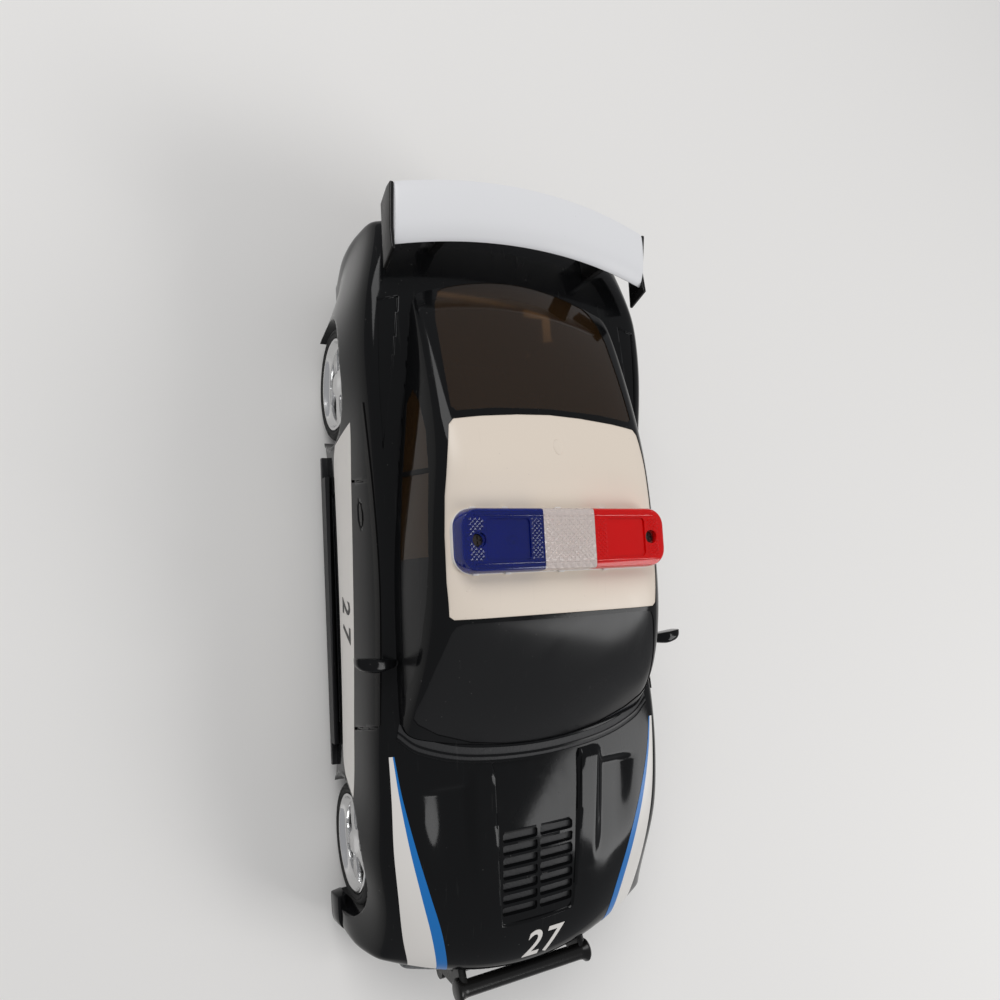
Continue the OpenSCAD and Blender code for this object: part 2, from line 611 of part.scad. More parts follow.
// Push bar: two tubes between side plates that are let into the nose
push_plate_t = 2.8;
push_pitch = 18.5;
push_tongue = 9;
push_flange_t = 1.4;
push_flange = 1.2;
push_low_z = push_z - push_pitch;
push_tube_r = push_tube_d / 2;
push_y = -overall_l / 2 + push_tube_r;
push_root = nose_y + push_tongue;
module push_plate(room) along_x(push_w / 2 - push_plate_t - room)
  linear_extrude(push_plate_t + 2 * room) polygon([
  [push_y, push_low_z - push_tube_r - room], [push_root + room, push_low_z - push_tube_r - room],
  [push_root + room, push_low_z + push_tube_r + room], [nose_y - wall / 2, push_low_z + push_tube_r + room],
  [nose_y - wall / 2, push_z - push_tube_d - room], [push_root + room, push_z - push_tube_d - room],
  [push_root + room, push_z - push_tube_r + room], [push_y, push_z + push_tube_r + room]]);
module push_bar() color("#1c1b1b") {
  mirrored() push_plate(0);
  for (z = [push_low_z, push_z]) rod_x(-push_w / 2, push_w / 2, push_y, z, push_tube_r);
  mirrored() rod_x(push_w / 2 - over, push_w / 2 + push_flange_t, push_y + push_flange, push_z,
    push_tube_r + push_flange);
}

// Grille and lamps, each a block let into a pocket of the shell
lamp_t = 3.2;
lamp_w = 16;
lamp_h = 7;
lamp_r = 2.8;
lamp_x = 37;
lamp_drop = 25;
lamp_set = 4;
tail_lamp_drop = 17.5;
tail_lamp_set = 3;
grille_w = 44;
grille_h = 12.5;
grille_z = 29;
grille_d = 6.4;
grille_slot = 2;
grille_bars = 4;
lamp_z = bonnet_h - lamp_drop;
tail_lamp_z = bonnet_h - tail_lamp_drop;
lamp_turn = atan(2 * nose_sweep * lamp_x / (half_w * half_w));
tail_lamp_turn = atan(2 * tail_sweep * lamp_x / (half_w * half_w));
module lamp_block(room) translate([0, lamp_t / 2, 0]) rotate([90, 0, 0])
  linear_extrude(lamp_t + room, center = true) rounded(lamp_w + 2 * room, lamp_h + 2 * room, lamp_r);
module headlamp(room) translate([lamp_x, nose_y + lamp_set, lamp_z])
  rotate([0, 0, lamp_turn]) lamp_block(room);
module tail_lamp(room) translate([lamp_x, tail_y - tail_lamp_set, tail_lamp_z])
  rotate([0, 0, 180 - tail_lamp_turn]) lamp_block(room);
module headlight_left() color("#e4e9ec", 0.6) headlamp(0);
module headlight_right() color("#e4e9ec", 0.6) mirror([1, 0, 0]) headlamp(0);
module tail_light_left() color("#b01018", 0.8) tail_lamp(0);
module tail_light_right() color("#b01018", 0.8) mirror([1, 0, 0]) tail_lamp(0);
module grille_block(lead, room) block(-grille_w / 2 - room, grille_w / 2 + room, nose_y + lead,
  nose_y + grille_d + room, grille_z - grille_h / 2 - room, grille_z + grille_h / 2 + room);
module front_grille() color("#0f1012") difference() {
  grille_block(wall / 2, 0);
  for (k = [0 : grille_bars - 1]) translate([0, 0, grille_z + grille_h * ((k + 0.5) / grille_bars - 0.5)])
    block(wall - grille_w / 2, grille_w / 2 - wall, nose_y, nose_y + grille_d - wall / 2,
      -grille_slot / 2, grille_slot / 2);
  mirrored() push_plate(gap);
}

// Floor pan with running boards, axle bearings, battery box and seats for the works
pan_t = 2;
pan_top = sill_z - gap;
pan_z = pan_top - pan_t;
pan_half = tub_x - tub_t - 2 * gap;
pan_nose_inset = 11;
pan_tail_inset = 8;
pan_nose_half = 50;
pan_tip_half = 38;
pan_tail_half = 44;
pan_end_l = 8;
board_t = 1.6;
board_h = 6;
board_set = 8;
bearing_t = 4;
bearing_x = pan_half - bearing_t - gap;
bay_front = front_y + arch_r + wall;
bay_rear = rear_y - arch_r - wall;
battery_set = 56;
battery_y = front_y + battery_set;
battery_w = 2 * cell_d + 2 * wall;
battery_l = cell_l + 2 * wall;
battery_h = cell_d + wall;
catch_l = 8;
door_screw_y = battery_y + (battery_l + catch_l) / 2;
switch_set = 20;
switch_l = 9;
switch_w = 5;
switch_h = 4.5;
switch_travel = 2;
knob_l = 3;
knob_w = 2.4;
knob_in = 0.3;
switch_y = battery_y + battery_l / 2 + switch_set;
pcb_w = 26;
pcb_l = 20;
pcb_t = 1.2;
pcb_post_x = 10.5;
pcb_post_r = 2.2;
pcb_y = switch_y + switch_travel / 2;
pcb_z = pan_top + switch_h + gap;
module pan_plan() {
  nose_back = front_y - arch_r - wall;
  tail_front = rear_y + arch_r + wall;
  translate([-pan_half, nose_y + pan_nose_inset])
    square([2 * pan_half, body_l - pan_nose_inset - pan_tail_inset]);
  translate([0, (bay_front + bay_rear) / 2]) square([body_w - 2 * gap, bay_rear - bay_front], center = true);
  polygon([[-pan_nose_half, nose_back], [pan_nose_half, nose_back], [pan_tip_half, nose_back - pan_end_l],
    [-pan_tip_half, nose_back - pan_end_l]]);
  translate([0, tail_front + pan_end_l]) square([2 * pan_tail_half, 2 * pan_end_l], center = true);
}
module running_board()
  block(half_w - gap - board_t, half_w - gap, bay_front + board_set, bay_rear - board_set, pan_z,
    pan_z + board_h);
module bearing(y) difference() {
  hull() {
    block(bearing_x, bearing_x + bearing_t, y - 3 * axle_r, y + 3 * axle_r, pan_z, pan_top);
    rod_x(bearing_x, bearing_x + bearing_t, y, axle_z, 2 * axle_r);
  }
  rod_x(bearing_x - over, bearing_x + bearing_t + over, y, axle_z, axle_r + run);
}
module knob_slot(z0, z1) block(-knob_w / 2 - gap, knob_w / 2 + gap, switch_y - knob_l / 2 - gap,
  switch_y + knob_l / 2 + switch_travel + gap, z0, z1);
module chassis_pan() color("#1a1a1c") difference() {
  union() {
    translate([0, 0, pan_z]) linear_extrude(pan_t) pan_plan();
    mirrored() running_board();
    mirrored() bearing(front_y);
    mirrored() bearing(rear_y);
    block(-battery_w / 2 - wall, battery_w / 2 + wall, battery_y - battery_l / 2 - wall,
      battery_y + battery_l / 2 + wall, pan_z, pan_top + battery_h);
    mirrored() translate([pcb_post_x, pcb_y, pan_z]) cylinder(h = pcb_z - pan_z - gap / 2, r = pcb_post_r);
  }
  block(-battery_w / 2, battery_w / 2, battery_y - battery_l / 2, battery_y + battery_l / 2,
    pan_z - over, pan_top + battery_h + over);
  block(-battery_w / 2, battery_w / 2, battery_y, battery_y + battery_l / 2 + catch_l,
    pan_z - over, pan_z + pan_t / 2);
  translate([0, door_screw_y, pan_z]) cylinder(h = 2 * pan_t + wall, r = screw_r);
  for (p = boss_places) translate([p[0], p[1], pan_z - over]) {
    cylinder(h = pan_t + 2 * over, r = screw_r);
    cylinder(h = over + pan_t / 2, r = 2 * screw_r);
  }
  knob_slot(pan_z - over, pan_top + over);
}
pan_shank = 9;
pan_head_h = 0.8;
door_head_h = 0.5;
module chassis_screws() color("silver") for (p = boss_places)
  translate([p[0], p[1], pan_z + pan_t / 2 - gap / 2]) mirror([0, 0, 1])
    screw(2 * screw_r - gap, pan_head_h, pan_shank);
module battery_door() color("#1a1a1c") difference() {
  union() {
    block(gap - battery_w / 2, battery_w / 2 - gap, battery_y - battery_l / 2 + gap,
      battery_y + battery_l / 2 + catch_l - gap, pan_z, pan_z + pan_t / 2 - gap / 2);
    block(gap - battery_w / 2, battery_w / 2 - gap, battery_y - battery_l / 2 + gap,
      battery_y + battery_l / 2 - gap, pan_z, pan_top);
  }
  translate([0, door_screw_y, pan_z - over]) cylinder(h = pan_t + over, r = screw_r);
  translate([0, door_screw_y, pan_z - over]) cylinder(h = door_head_h + over, r = 2 * screw_r);
}
module battery_door_screw() color("silver") translate([0, door_screw_y, pan_z + door_head_h - gap / 2])
  mirror([0, 0, 1]) screw(2 * screw_r - gap, door_head_h - gap, pan_t);
cell_button_r = 1.9;
cell_button_l = 0.9;
module battery_cells() color("#b9bcc0") for (s = [-1, 1])
  translate([s * (cell_d / 2 + gap), battery_y, pan_top + cell_d / 2 + gap / 2]) rotate([s * 90, 0, 0])
    translate([0, 0, -cell_l / 2]) {
      cylinder(h = cell_l - cell_button_l, r = cell_d / 2);
      cylinder(h = cell_l, r = cell_button_r);
    }
contact_h = 8;
contact_t = 0.4;
module battery_contacts() color("#cfd2d4") for (s = [-1, 1])
  translate([0, battery_y + s * (battery_l / 2 - contact_t), pan_top + cell_d / 2])
    block(-cell_d, cell_d, -contact_t / 2, contact_t / 2, -contact_h / 2, contact_h / 2);
module switch_body() color("#2a2a2c") difference() {
  translate([0, pcb_y, pan_top + gap / 2])
    block(-switch_w / 2, switch_w / 2, -switch_l / 2, switch_l / 2, 0, switch_h);
  knob_slot(pan_top, pan_top + switch_h / 2 + gap);
}
module switch_knob() color("#e8e6df") block(-knob_w / 2, knob_w / 2, switch_y - knob_l / 2,
  switch_y + knob_l / 2, pan_z + knob_in, pan_top + switch_h / 2);
module circuit_board() color("#2f6b3a") translate([0, pcb_y, pcb_z])
  block(-pcb_w / 2, pcb_w / 2, -pcb_l / 2, pcb_l / 2, 0, pcb_t);

// Flywheel drive: axle gear, middle gear on a pin and flywheel with its pinion
pressure = 25;
tip_share = 0.8;
root_share = 1.05;
half_turn = 180;
climb_1 = 160;
climb_2 = 155;
slack = 0.065;
case_t = 2;
case_rim_t = 1.2;
case_room = 1;
side_room = 0.6;
fly_w = 6;
hub_r = 3;
reach_1 = gear_module * (axle_teeth + pinion_teeth) / 2;
reach_2 = gear_module * (middle_teeth + pinion_teeth) / 2;
middle_y = rear_y + reach_1 * cos(climb_1);
middle_z = axle_z + reach_1 * sin(climb_1);
fly_y = middle_y + reach_2 * cos(climb_2);
fly_z = middle_z + reach_2 * sin(climb_2);
pin_r = pin_d / 2;
case_x0 = -gear_w - 2 * case_t;
first_x = case_x0 + case_t + side_room;
second_x = first_x + gear_w + side_room;
fly_x = second_x + gear_w + side_room;
case_x1 = fly_x + fly_w + side_room;
function involute(a) = tan(a) * 180 / PI - a;
function flank(r, pitch_r, teeth) = let (base_r = pitch_r * cos(pressure))
  90 / teeth - slack / pitch_r * 90 / PI + involute(pressure) - (r > base_r ? involute(acos(base_r / r)) : 0);
function tooth_side(teeth, way) =
  let (pitch_r = gear_module * teeth / 2, root = pitch_r - root_share * gear_module)
  [for (r = [root, max(root, pitch_r * cos(pressure)), pitch_r, pitch_r + tip_share * gear_module])
    let (a = way * flank(r, pitch_r, teeth)) r * [cos(a), sin(a)]];
function turned(p, a) = [p[0] * cos(a) - p[1] * sin(a), p[0] * sin(a) + p[1] * cos(a)];
function gear_points(teeth) = let (up = tooth_side(teeth, -1), down = tooth_side(teeth, 1))
  [for (k = [0 : teeth - 1]) each [for (p = concat(up, [for (n = [len(down) - 1 : -1 : 0]) down[n]]))
    turned(p, k * 360 / teeth)]];
module gear(teeth, x0, w, y, z, turn) translate([0, y, z]) along_x(x0) linear_extrude(w)
  rotate(turn) polygon(gear_points(teeth));
module axle_gear() color("#e9e4d4") difference() {
  union() {
    gear(axle_teeth, first_x, gear_w, rear_y, axle_z, climb_1);
    rod_x(first_x - side_room / 2, first_x + gear_w + side_room / 2, rear_y, axle_z, hub_r);
  }
  rod_x(case_x0, case_x1, rear_y, axle_z, axle_r);
}
module middle_gear() color("#e9e4d4") difference() {
  union() {
    gear(pinion_teeth, first_x, gear_w + side_room, middle_y, middle_z,
      climb_1 + half_turn + half_turn / pinion_teeth);
    gear(middle_teeth, second_x, gear_w, middle_y, middle_z, climb_2);
  }
  rod_x(case_x0, case_x1, middle_y, middle_z, pin_r + run);
}
module middle_pin() color("silver") rod_x(case_x0, case_x1 + case_t, middle_y, middle_z, pin_r);
module flywheel() color("#8d9094") {
  gear(pinion_teeth, second_x, gear_w + side_room, fly_y, fly_z, climb_2 + half_turn + half_turn / pinion_teeth);
  rod_x(fly_x, fly_x + fly_w, fly_y, fly_z, flywheel_d / 2);
  rod_x(case_x0, case_x1 + case_t, fly_y, fly_z, pin_r);
}
function tip_r(teeth) = gear_module * (teeth / 2 + tip_share);
module case_plan(extra) {
  hull() {
    translate([rear_y, axle_z]) circle(tip_r(axle_teeth) + case_room + extra, $fn = 32);
    translate([middle_y, middle_z]) circle(tip_r(middle_teeth) + case_room + extra, $fn = 32);
  }
  hull() {
    translate([middle_y, middle_z]) circle(tip_r(middle_teeth) + case_room + extra, $fn = 32);
    translate([fly_y, fly_z]) circle(flywheel_d / 2 + case_room + extra, $fn = 32);
  }
}
case_foot_h = 2;
module case_shape(w) difference() {
  union() {
    linear_extrude(w) case_plan(case_rim_t);
    linear_extrude(w) translate([fly_y, pan_top + gap / 2]) square([rear_y - fly_y, case_foot_h]);
  }
  translate([fly_y - flywheel_d, 0, -over])
    cube([rear_y - fly_y + 2 * flywheel_d, pan_top + gap / 2, w + 2 * over]);
}
module shaft_bores() {
  rod_x(case_x0 - over, case_x1 + case_t + over, rear_y, axle_z, axle_r + run);
  rod_x(case_x0 - over, case_x1 + case_t + over, middle_y, middle_z, pin_r);
  rod_x(case_x0 - over, case_x1 + case_t + over, fly_y, fly_z, pin_r + run);
}
module gearbox_case() color("#34363a") difference() {
  along_x(case_x0) case_shape(case_x1 - case_x0);
  along_x(case_x0 + case_t) linear_extrude(case_x1 - case_x0) case_plan(0);
  shaft_bores();
}
module gearbox_cover() color("#34363a") difference() {
  along_x(case_x1) case_shape(case_t);
  shaft_bores();
}

// Axles, rims and tyres
wheel_out = track_w / 2;
wheel_in = wheel_out - tyre_w;
rim_r = rim_d / 2;
tyre_r = tyre_d / 2;
spokes = 5;
rim_wall = 2.4;
rim_lip = 1.4;
rim_dish = 2.4;
rim_web = 4;
rim_hub_r = 3.8;
rim_set = 1.5;
axle_end = 5;
spoke_in = 5.2;
spoke_out = 1.2;
spoke_edge = 0.4;
spoke_foot = 1.7;
spoke_head = 5.4;
tread_step = 2.6;
tread_round = 1;
module axle(y) color("silver") rod_x(axle_end - wheel_out, wheel_out - axle_end, y, axle_z, axle_r);
module rear_axle() axle(rear_y);
module front_axle() axle(front_y);
module on_wheel(y) translate([0, y, axle_z]) rotate([0, 90, 0]) children();
module rim() difference() {
  rotate_extrude() polygon([[0, wheel_in + rim_set], [rim_hub_r, wheel_in + rim_set],
    [rim_hub_r, wheel_out - rim_dish - rim_web], [rim_r - rim_wall, wheel_out - rim_dish - rim_web],
    [rim_r - rim_wall, wheel_in + rim_set], [rim_r, wheel_in + rim_set], [rim_r, wheel_out - rim_lip / 2],
    [rim_r - rim_lip, wheel_out - rim_lip / 4], [rim_r - rim_wall, wheel_out - rim_dish],
    [rim_hub_r, wheel_out - rim_lip], [rim_hub_r / 2, wheel_out - rim_lip / 4],
    [0, wheel_out - rim_lip / 4]]);
  cylinder(h = wheel_out - axle_end, r = axle_r);
  for (k = [0 : spokes - 1]) rotate(k * 360 / spokes) translate([0, 0, wheel_in])
    linear_extrude(tyre_w + over) polygon([[spoke_in, -spoke_foot],
      [rim_r - rim_wall - spoke_out, -spoke_head], [rim_r - rim_wall - spoke_edge, 0],
      [rim_r - rim_wall - spoke_out, spoke_head], [spoke_in, spoke_foot]]);
}
module tyre() rotate_extrude() polygon([[rim_r, wheel_in + rim_set], [rim_r, wheel_out - tread_round],
  [rim_r + tread_round, wheel_out - tread_round / 5], [tyre_r - 2 * tread_round, wheel_out],
  [tyre_r - tread_round / 2, wheel_out - tread_round], [tyre_r, wheel_out - tread_step],
  [tyre_r, wheel_in + tread_step], [tyre_r - tread_round / 2, wheel_in + tread_round],
  [tyre_r - 2 * tread_round, wheel_in], [rim_r + tread_round, wheel_in + tread_round / 5]]);
module rim_front_left() color("#d7d9db") on_wheel(front_y) rim();
module rim_front_right() color("#d7d9db") mirror([1, 0, 0]) on_wheel(front_y) rim();
module rim_rear_left() color("#d7d9db") on_wheel(rear_y) rim();
module rim_rear_right() color("#d7d9db") mirror([1, 0, 0]) on_wheel(rear_y) rim();
module tyre_front_left() color("#202022") on_wheel(front_y) tyre();
module tyre_front_right() color("#202022") mirror([1, 0, 0]) on_wheel(front_y) tyre();
module tyre_rear_left() color("#202022") on_wheel(rear_y) tyre();
module tyre_rear_right() color("#202022") mirror([1, 0, 0]) on_wheel(rear_y) tyre();

body_shell();
window_canopy();
roof_panel();
mirror_left();
mirror_right();
lightbar_base();
lens_blue();
lens_clear();
lens_red();
lightbar_screws();
leds();
wing_blade();
wing_endplate_left();
wing_endplate_right();
wing_strut_left();
wing_strut_right();
push_bar();
front_grille();
headlight_left();
headlight_right();
tail_light_left();
tail_light_right();
chassis_pan();
chassis_screws();
battery_door();
battery_door_screw();
battery_cells();
battery_contacts();
circuit_board();
switch_body();
switch_knob();
gearbox_case();
gearbox_cover();
axle_gear();
middle_gear();
middle_pin();
flywheel();
rear_axle();
front_axle();
rim_front_left();
rim_front_right();
rim_rear_left();
rim_rear_right();
tyre_front_left();
tyre_front_right();
tyre_rear_left();
tyre_rear_right();
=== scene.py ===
"""Looks of the toy police car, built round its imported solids.

Lengths are in millimetres while a piece is modelled, and each finished mesh is scaled to metres.
The front is -Y, the car's left is +X and up is +Z.
"""

import json
import logging
import math
from collections.abc import Callable, Iterable, Sequence
from dataclasses import dataclass
from enum import Enum, IntEnum

import bmesh
import bpy
from bmesh.types import BMesh, BMVert
from bpy.types import Material, Node, NodeSocket, NodeTree, Object
from mathutils import Matrix, Vector
from mathutils.bvhtree import BVHTree


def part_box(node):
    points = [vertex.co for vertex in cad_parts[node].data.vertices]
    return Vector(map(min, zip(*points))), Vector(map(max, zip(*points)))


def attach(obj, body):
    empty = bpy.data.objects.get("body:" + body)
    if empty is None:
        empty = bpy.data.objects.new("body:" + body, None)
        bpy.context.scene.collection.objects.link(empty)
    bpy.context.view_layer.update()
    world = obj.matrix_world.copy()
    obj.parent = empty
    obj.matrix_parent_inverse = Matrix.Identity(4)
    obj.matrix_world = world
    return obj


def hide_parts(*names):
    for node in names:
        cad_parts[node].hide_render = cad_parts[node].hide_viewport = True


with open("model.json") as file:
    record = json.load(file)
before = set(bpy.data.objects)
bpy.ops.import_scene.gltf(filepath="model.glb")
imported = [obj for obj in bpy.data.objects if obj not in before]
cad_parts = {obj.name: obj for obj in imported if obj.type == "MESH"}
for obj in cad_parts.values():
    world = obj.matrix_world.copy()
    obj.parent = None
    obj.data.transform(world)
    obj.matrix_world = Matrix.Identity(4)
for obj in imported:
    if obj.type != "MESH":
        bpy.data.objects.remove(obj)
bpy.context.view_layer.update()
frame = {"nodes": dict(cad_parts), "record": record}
MM = 0.001
FAR = 400.0
DOWN = (0, 0, -1)
SHARP = 38.0
ENDS = ("front", "rear")
Pair = tuple[float, float]
Triple = tuple[float, float, float]
Points = Sequence[Pair]
Place = Callable[[float, float], Vector]
log = logging.getLogger("toy_car")


class Body(Enum):
    """Moving bodies of the part."""

    CAR = "car"
    FRONT_WHEELS = "front_wheels"
    REAR_WHEELS = "rear_wheels"


class Side(IntEnum):
    """Sides of the car, as the sign of their X."""

    LEFT = 1
    RIGHT = -1

    @property
    def word(self) -> str:
        """Name of the side in piece names."""
        return self.name.lower()


# Shader groups that several finishes share


def shader_group(name: str, inputs: Sequence[tuple], outputs: Sequence[tuple]) -> tuple:
    """Makes an empty shader group with its sockets.

    Args:
        name: Name of the group.
        inputs: (name, socket type, default) of each input.
        outputs: (name, socket type) of each output.

    Returns:
        The group, its input node and its output node.
    """
    group = bpy.data.node_groups.new(name, "ShaderNodeTree")
    for label, kind, default in inputs:
        socket = group.interface.new_socket(label, in_out="INPUT", socket_type=kind)
        if default is not None:
            socket.default_value = default
    for label, kind in outputs:
        group.interface.new_socket(label, in_out="OUTPUT", socket_type=kind)
    return group, group.nodes.new("NodeGroupInput"), group.nodes.new("NodeGroupOutput")


def set_inputs(tree: NodeTree, node: Node, values: dict) -> None:
    """Links or sets the inputs of a shader node.

    Args:
        tree: Node tree of the node.
        node: Node whose inputs are set.
        values: Output socket or constant for each named or numbered input.
    """
    for key, value in values.items():
        if isinstance(value, NodeSocket):
            tree.links.new(value, node.inputs[key])
        else:
            node.inputs[key].default_value = value


def add_node(tree: NodeTree, kind: str, values: dict | None = None, **settings) -> Node:
    """Adds a shader node.

    Args:
        tree: Node tree that gets it.
        kind: Node type without its ShaderNode prefix.
        values: Output socket or constant for each named or numbered input.
        settings: Attributes of the node.

    Returns:
        The new node.
    """
    node = tree.nodes.new("ShaderNode" + kind)
    for key, value in settings.items():
        setattr(node, key, value)
    set_inputs(tree, node, values or {})
    return node


def add_math(tree: NodeTree, operation: str, *values, clamp: bool = False) -> NodeSocket:
    """Adds a Math node with its inputs, and returns its output."""
    return add_node(tree, "Math", dict(enumerate(values)), operation=operation, use_clamp=clamp).outputs[0]


def add_range(tree: NodeTree, value: NodeSocket, low: float, high: float
              ) -> NodeSocket:
    """Adds a node that maps a value from low to high on to 0 to 1, and returns its output."""
    return add_node(tree, "MapRange", {"Value": value, "From Min": low, "From Max": high}).outputs[0]


class SharedEffects:
    """Shader groups for moulded grain, handling marks and lens prisms, each built once."""

    # Inputs of the Mix node, whose names repeat
    FACTOR = 0
    FLOAT_A, FLOAT_B = 2, 3
    COLOUR_A, COLOUR_B = 6, 7

    def __init__(self) -> None:
        """Builds the groups."""
        self.grain = self._grain()
        self.handling = self._handling()
        self.prisms = self._prisms()

    def _grain(self) -> NodeTree:
        """Fine unevenness of a moulding, as a height.

        Returns:
            Group with a Height output.
        """
        group, source, sink = shader_group(
            "moulded_grain",
            [("Vector", "NodeSocketVector", None), ("Fine", "NodeSocketFloat", 900.0),
             ("Broad", "NodeSocketFloat", 60.0), ("Mix", "NodeSocketFloat", 0.5)],
            [("Height", "NodeSocketFloat")])
        vector = source.outputs["Vector"]
        fine = add_node(group, "TexNoise", {"Vector": vector, "Scale": source.outputs["Fine"], "Detail": 3.0})
        broad = add_node(group, "TexNoise", {"Vector": vector, "Scale": source.outputs["Broad"],
                                             "Detail": 2.0})
        mixed = add_node(group, "Mix", {self.FACTOR: source.outputs["Mix"], self.FLOAT_A: fine.outputs["Fac"],
                                        self.FLOAT_B: broad.outputs["Fac"]}, data_type="FLOAT")
        set_inputs(group, sink, {"Height": mixed.outputs[0]})
        return group

    def _handling(self) -> NodeTree:
        """Smudges, fine scratches and dust specks on a handled toy.

        Returns:
            Group with Color and Roughness outputs.
        """
        group, source, sink = shader_group(
            "handling_marks",
            [("Vector", "NodeSocketVector", None), ("Color", "NodeSocketColor", None),
             ("Mark", "NodeSocketColor", None), ("Roughness", "NodeSocketFloat", 0.2),
             ("Smudge", "NodeSocketFloat", 0.1), ("Dust", "NodeSocketFloat", 0.1)],
            [("Color", "NodeSocketColor"), ("Roughness", "NodeSocketFloat")])
        vector = source.outputs["Vector"]
        smudge = add_node(group, "TexNoise", {"Vector": vector, "Scale": 38.0, "Detail": 5.0,
                                              "Distortion": 1.2}).outputs["Fac"]
        streaks = add_node(group, "Mapping", {"Vector": vector, "Rotation": (0.2, 0.1, 0.7),
                                              "Scale": (900.0, 45.0, 300.0)}).outputs[0]
        scratch = add_node(group, "TexNoise", {"Vector": streaks, "Scale": 1.0, "Detail": 2.0}).outputs["Fac"]
        specks = add_node(group, "TexVoronoi", {"Vector": vector, "Scale": 330.0}).outputs["Distance"]
        dust = add_math(group, "MULTIPLY", add_range(group, specks, 0.09, 0.05),
                        add_range(group, smudge, 0.5, 0.66))
        marks = add_math(group, "MULTIPLY_ADD", add_range(group, scratch, 0.68, 0.74), 0.1, dust)
        amount = add_math(group, "MULTIPLY", marks, source.outputs["Dust"], clamp=True)
        colour = add_node(group, "Mix", {self.FACTOR: amount, self.COLOUR_A: source.outputs["Color"],
                                         self.COLOUR_B: source.outputs["Mark"]}, data_type="RGBA")
        rough = add_math(group, "MULTIPLY_ADD", add_range(group, smudge, 0.4, 0.75), source.outputs["Smudge"],
                         source.outputs["Roughness"])
        rougher = add_math(group, "MULTIPLY_ADD", amount, 0.4, rough, clamp=True)
        set_inputs(group, sink, {"Color": colour.outputs[2], "Roughness": rougher})
        return group

    def _prisms(self) -> NodeTree:
        """Diamond pattern of a lamp lens in plan, as a height.

        Returns:
            Group with a Height output.
        """
        group, source, sink = shader_group(
            "lens_prisms",
            [("Vector", "NodeSocketVector", None), ("Pitch", "NodeSocketFloat", 700.0)],
            [("Height", "NodeSocketFloat")])
        axes = add_node(group, "SeparateXYZ", {0: source.outputs["Vector"]})
        waves = []
        for sign in (1.0, -1.0):
            across = add_math(group, "MULTIPLY_ADD", axes.outputs[1], sign, axes.outputs[0])
            scaled = add_math(group, "MULTIPLY", across, source.outputs["Pitch"])
            waves.append(add_math(group, "PINGPONG", scaled, 1.0))
        set_inputs(group, sink, {"Height": add_math(group, "MINIMUM", *waves)})
        return group


EFFECTS = SharedEffects()


@dataclass(frozen=True)
class Finish:
    """One surface finish, made into a material on first use.

    Attributes:
        name: Name of the material.
        colour: Base colour, linear.
        roughness: Roughness of the clean surface.
        metallic: Metallic share.
        specular: Specular level.
        transmission: Share of light that passes through.
        ior: Refractive index.
        mark: Colour of dust and scratches.
        smudge: How much smudges roughen the surface.
        dust: How strongly dust and scratches show.
        bump: Height of the moulded grain in metres.
        fine: Scale of the fine grain.
        broad: Scale of the broad unevenness.
        mix: Share of the broad unevenness.
        prisms: Height of a lens's diamond pattern in metres.
    """

    name: str
    colour: Triple
    roughness: float = 0.3
    metallic: float = 0.0
    specular: float = 0.5
    transmission: float = 0.0
    ior: float = 1.46
    mark: Triple = (0.35, 0.34, 0.32)
    smudge: float = 0.08
    dust: float = 0.25
    bump: float = 0.00001
    fine: float = 900.0
    broad: float = 60.0
    mix: float = 0.5
    prisms: float = 0.0

    def material(self) -> Material:
        """Builds the material, or finds it.

        Returns:
            The material.
        """
        known = bpy.data.materials.get(self.name)
        if known:
            return known
        made = bpy.data.materials.new(self.name)
        made.use_nodes = True
        tree = made.node_tree
        place = add_node(tree, "TexCoord").outputs["Object"]
        marks = add_node(tree, "Group", {
            "Vector": place, "Color": (*self.colour, 1.0), "Mark": (*self.mark, 1.0),
            "Roughness": self.roughness, "Smudge": self.smudge, "Dust": self.dust},
            node_tree=EFFECTS.handling)
        grain = add_node(tree, "Group", {"Vector": place, "Fine": self.fine, "Broad": self.broad,
                                         "Mix": self.mix}, node_tree=EFFECTS.grain)
        bump = add_node(tree, "Bump", {"Height": grain.outputs["Height"], "Distance": self.bump})
        if self.prisms:
            lattice = add_node(tree, "Group", {"Vector": place}, node_tree=EFFECTS.prisms)
            bump = add_node(tree, "Bump", {"Height": lattice.outputs["Height"], "Distance": self.prisms,
                                           "Normal": bump.outputs["Normal"]})
        set_inputs(tree, tree.nodes["Principled BSDF"], {
            "Base Color": marks.outputs["Color"], "Roughness": marks.outputs["Roughness"],
            "Normal": bump.outputs["Normal"], "Metallic": self.metallic, "Specular IOR Level": self.specular,
            "Transmission Weight": self.transmission, "IOR": self.ior})
        return made


BODY_BLACK = Finish("body_black_gloss", (0.005, 0.0052, 0.0056), 0.07, specular=0.2, smudge=0.1, dust=0.16,
                    bump=0.00002, broad=45.0, mix=0.85)
SMOKE_GLASS = Finish("smoked_window", (0.105, 0.054, 0.02), 0.04, transmission=0.85, ior=1.45, specular=0.22,
                     smudge=0.06, mark=(0.3, 0.2, 0.1), dust=0.15, bump=0.0)
# Windscreen finish: the windscreen is part of the smoked moulding, and its opaque near-black colour is
# painted shade of the dark cabin behind it and a painted dark reflection.
SCREEN_PAINTED_SHADE = Finish("dark_windscreen", (0.012, 0.012, 0.0125), 0.18, specular=0.25, smudge=0.08, dust=0.1,
                      bump=0.000004)
WHITE_PLASTIC = Finish("white_moulding", (0.82, 0.72, 0.61), 0.34, mark=(0.3, 0.27, 0.24), smudge=0.12,
                       dust=0.3, bump=0.00003, mix=0.4)
WING_WHITE = Finish("white_wing", (0.82, 0.82, 0.83), 0.3, specular=0.3, mark=(0.4, 0.38, 0.36), smudge=0.1,
                    dust=0.2, bump=0.00002)
TRAY_CLEAR = Finish("bar_tray", (0.82, 0.79, 0.76), 0.3, mark=(0.4, 0.38, 0.36))
LENS_BLUE = Finish("lens_blue_plastic", (0.008, 0.034, 0.4), 0.06, transmission=0.8, dust=0.1)
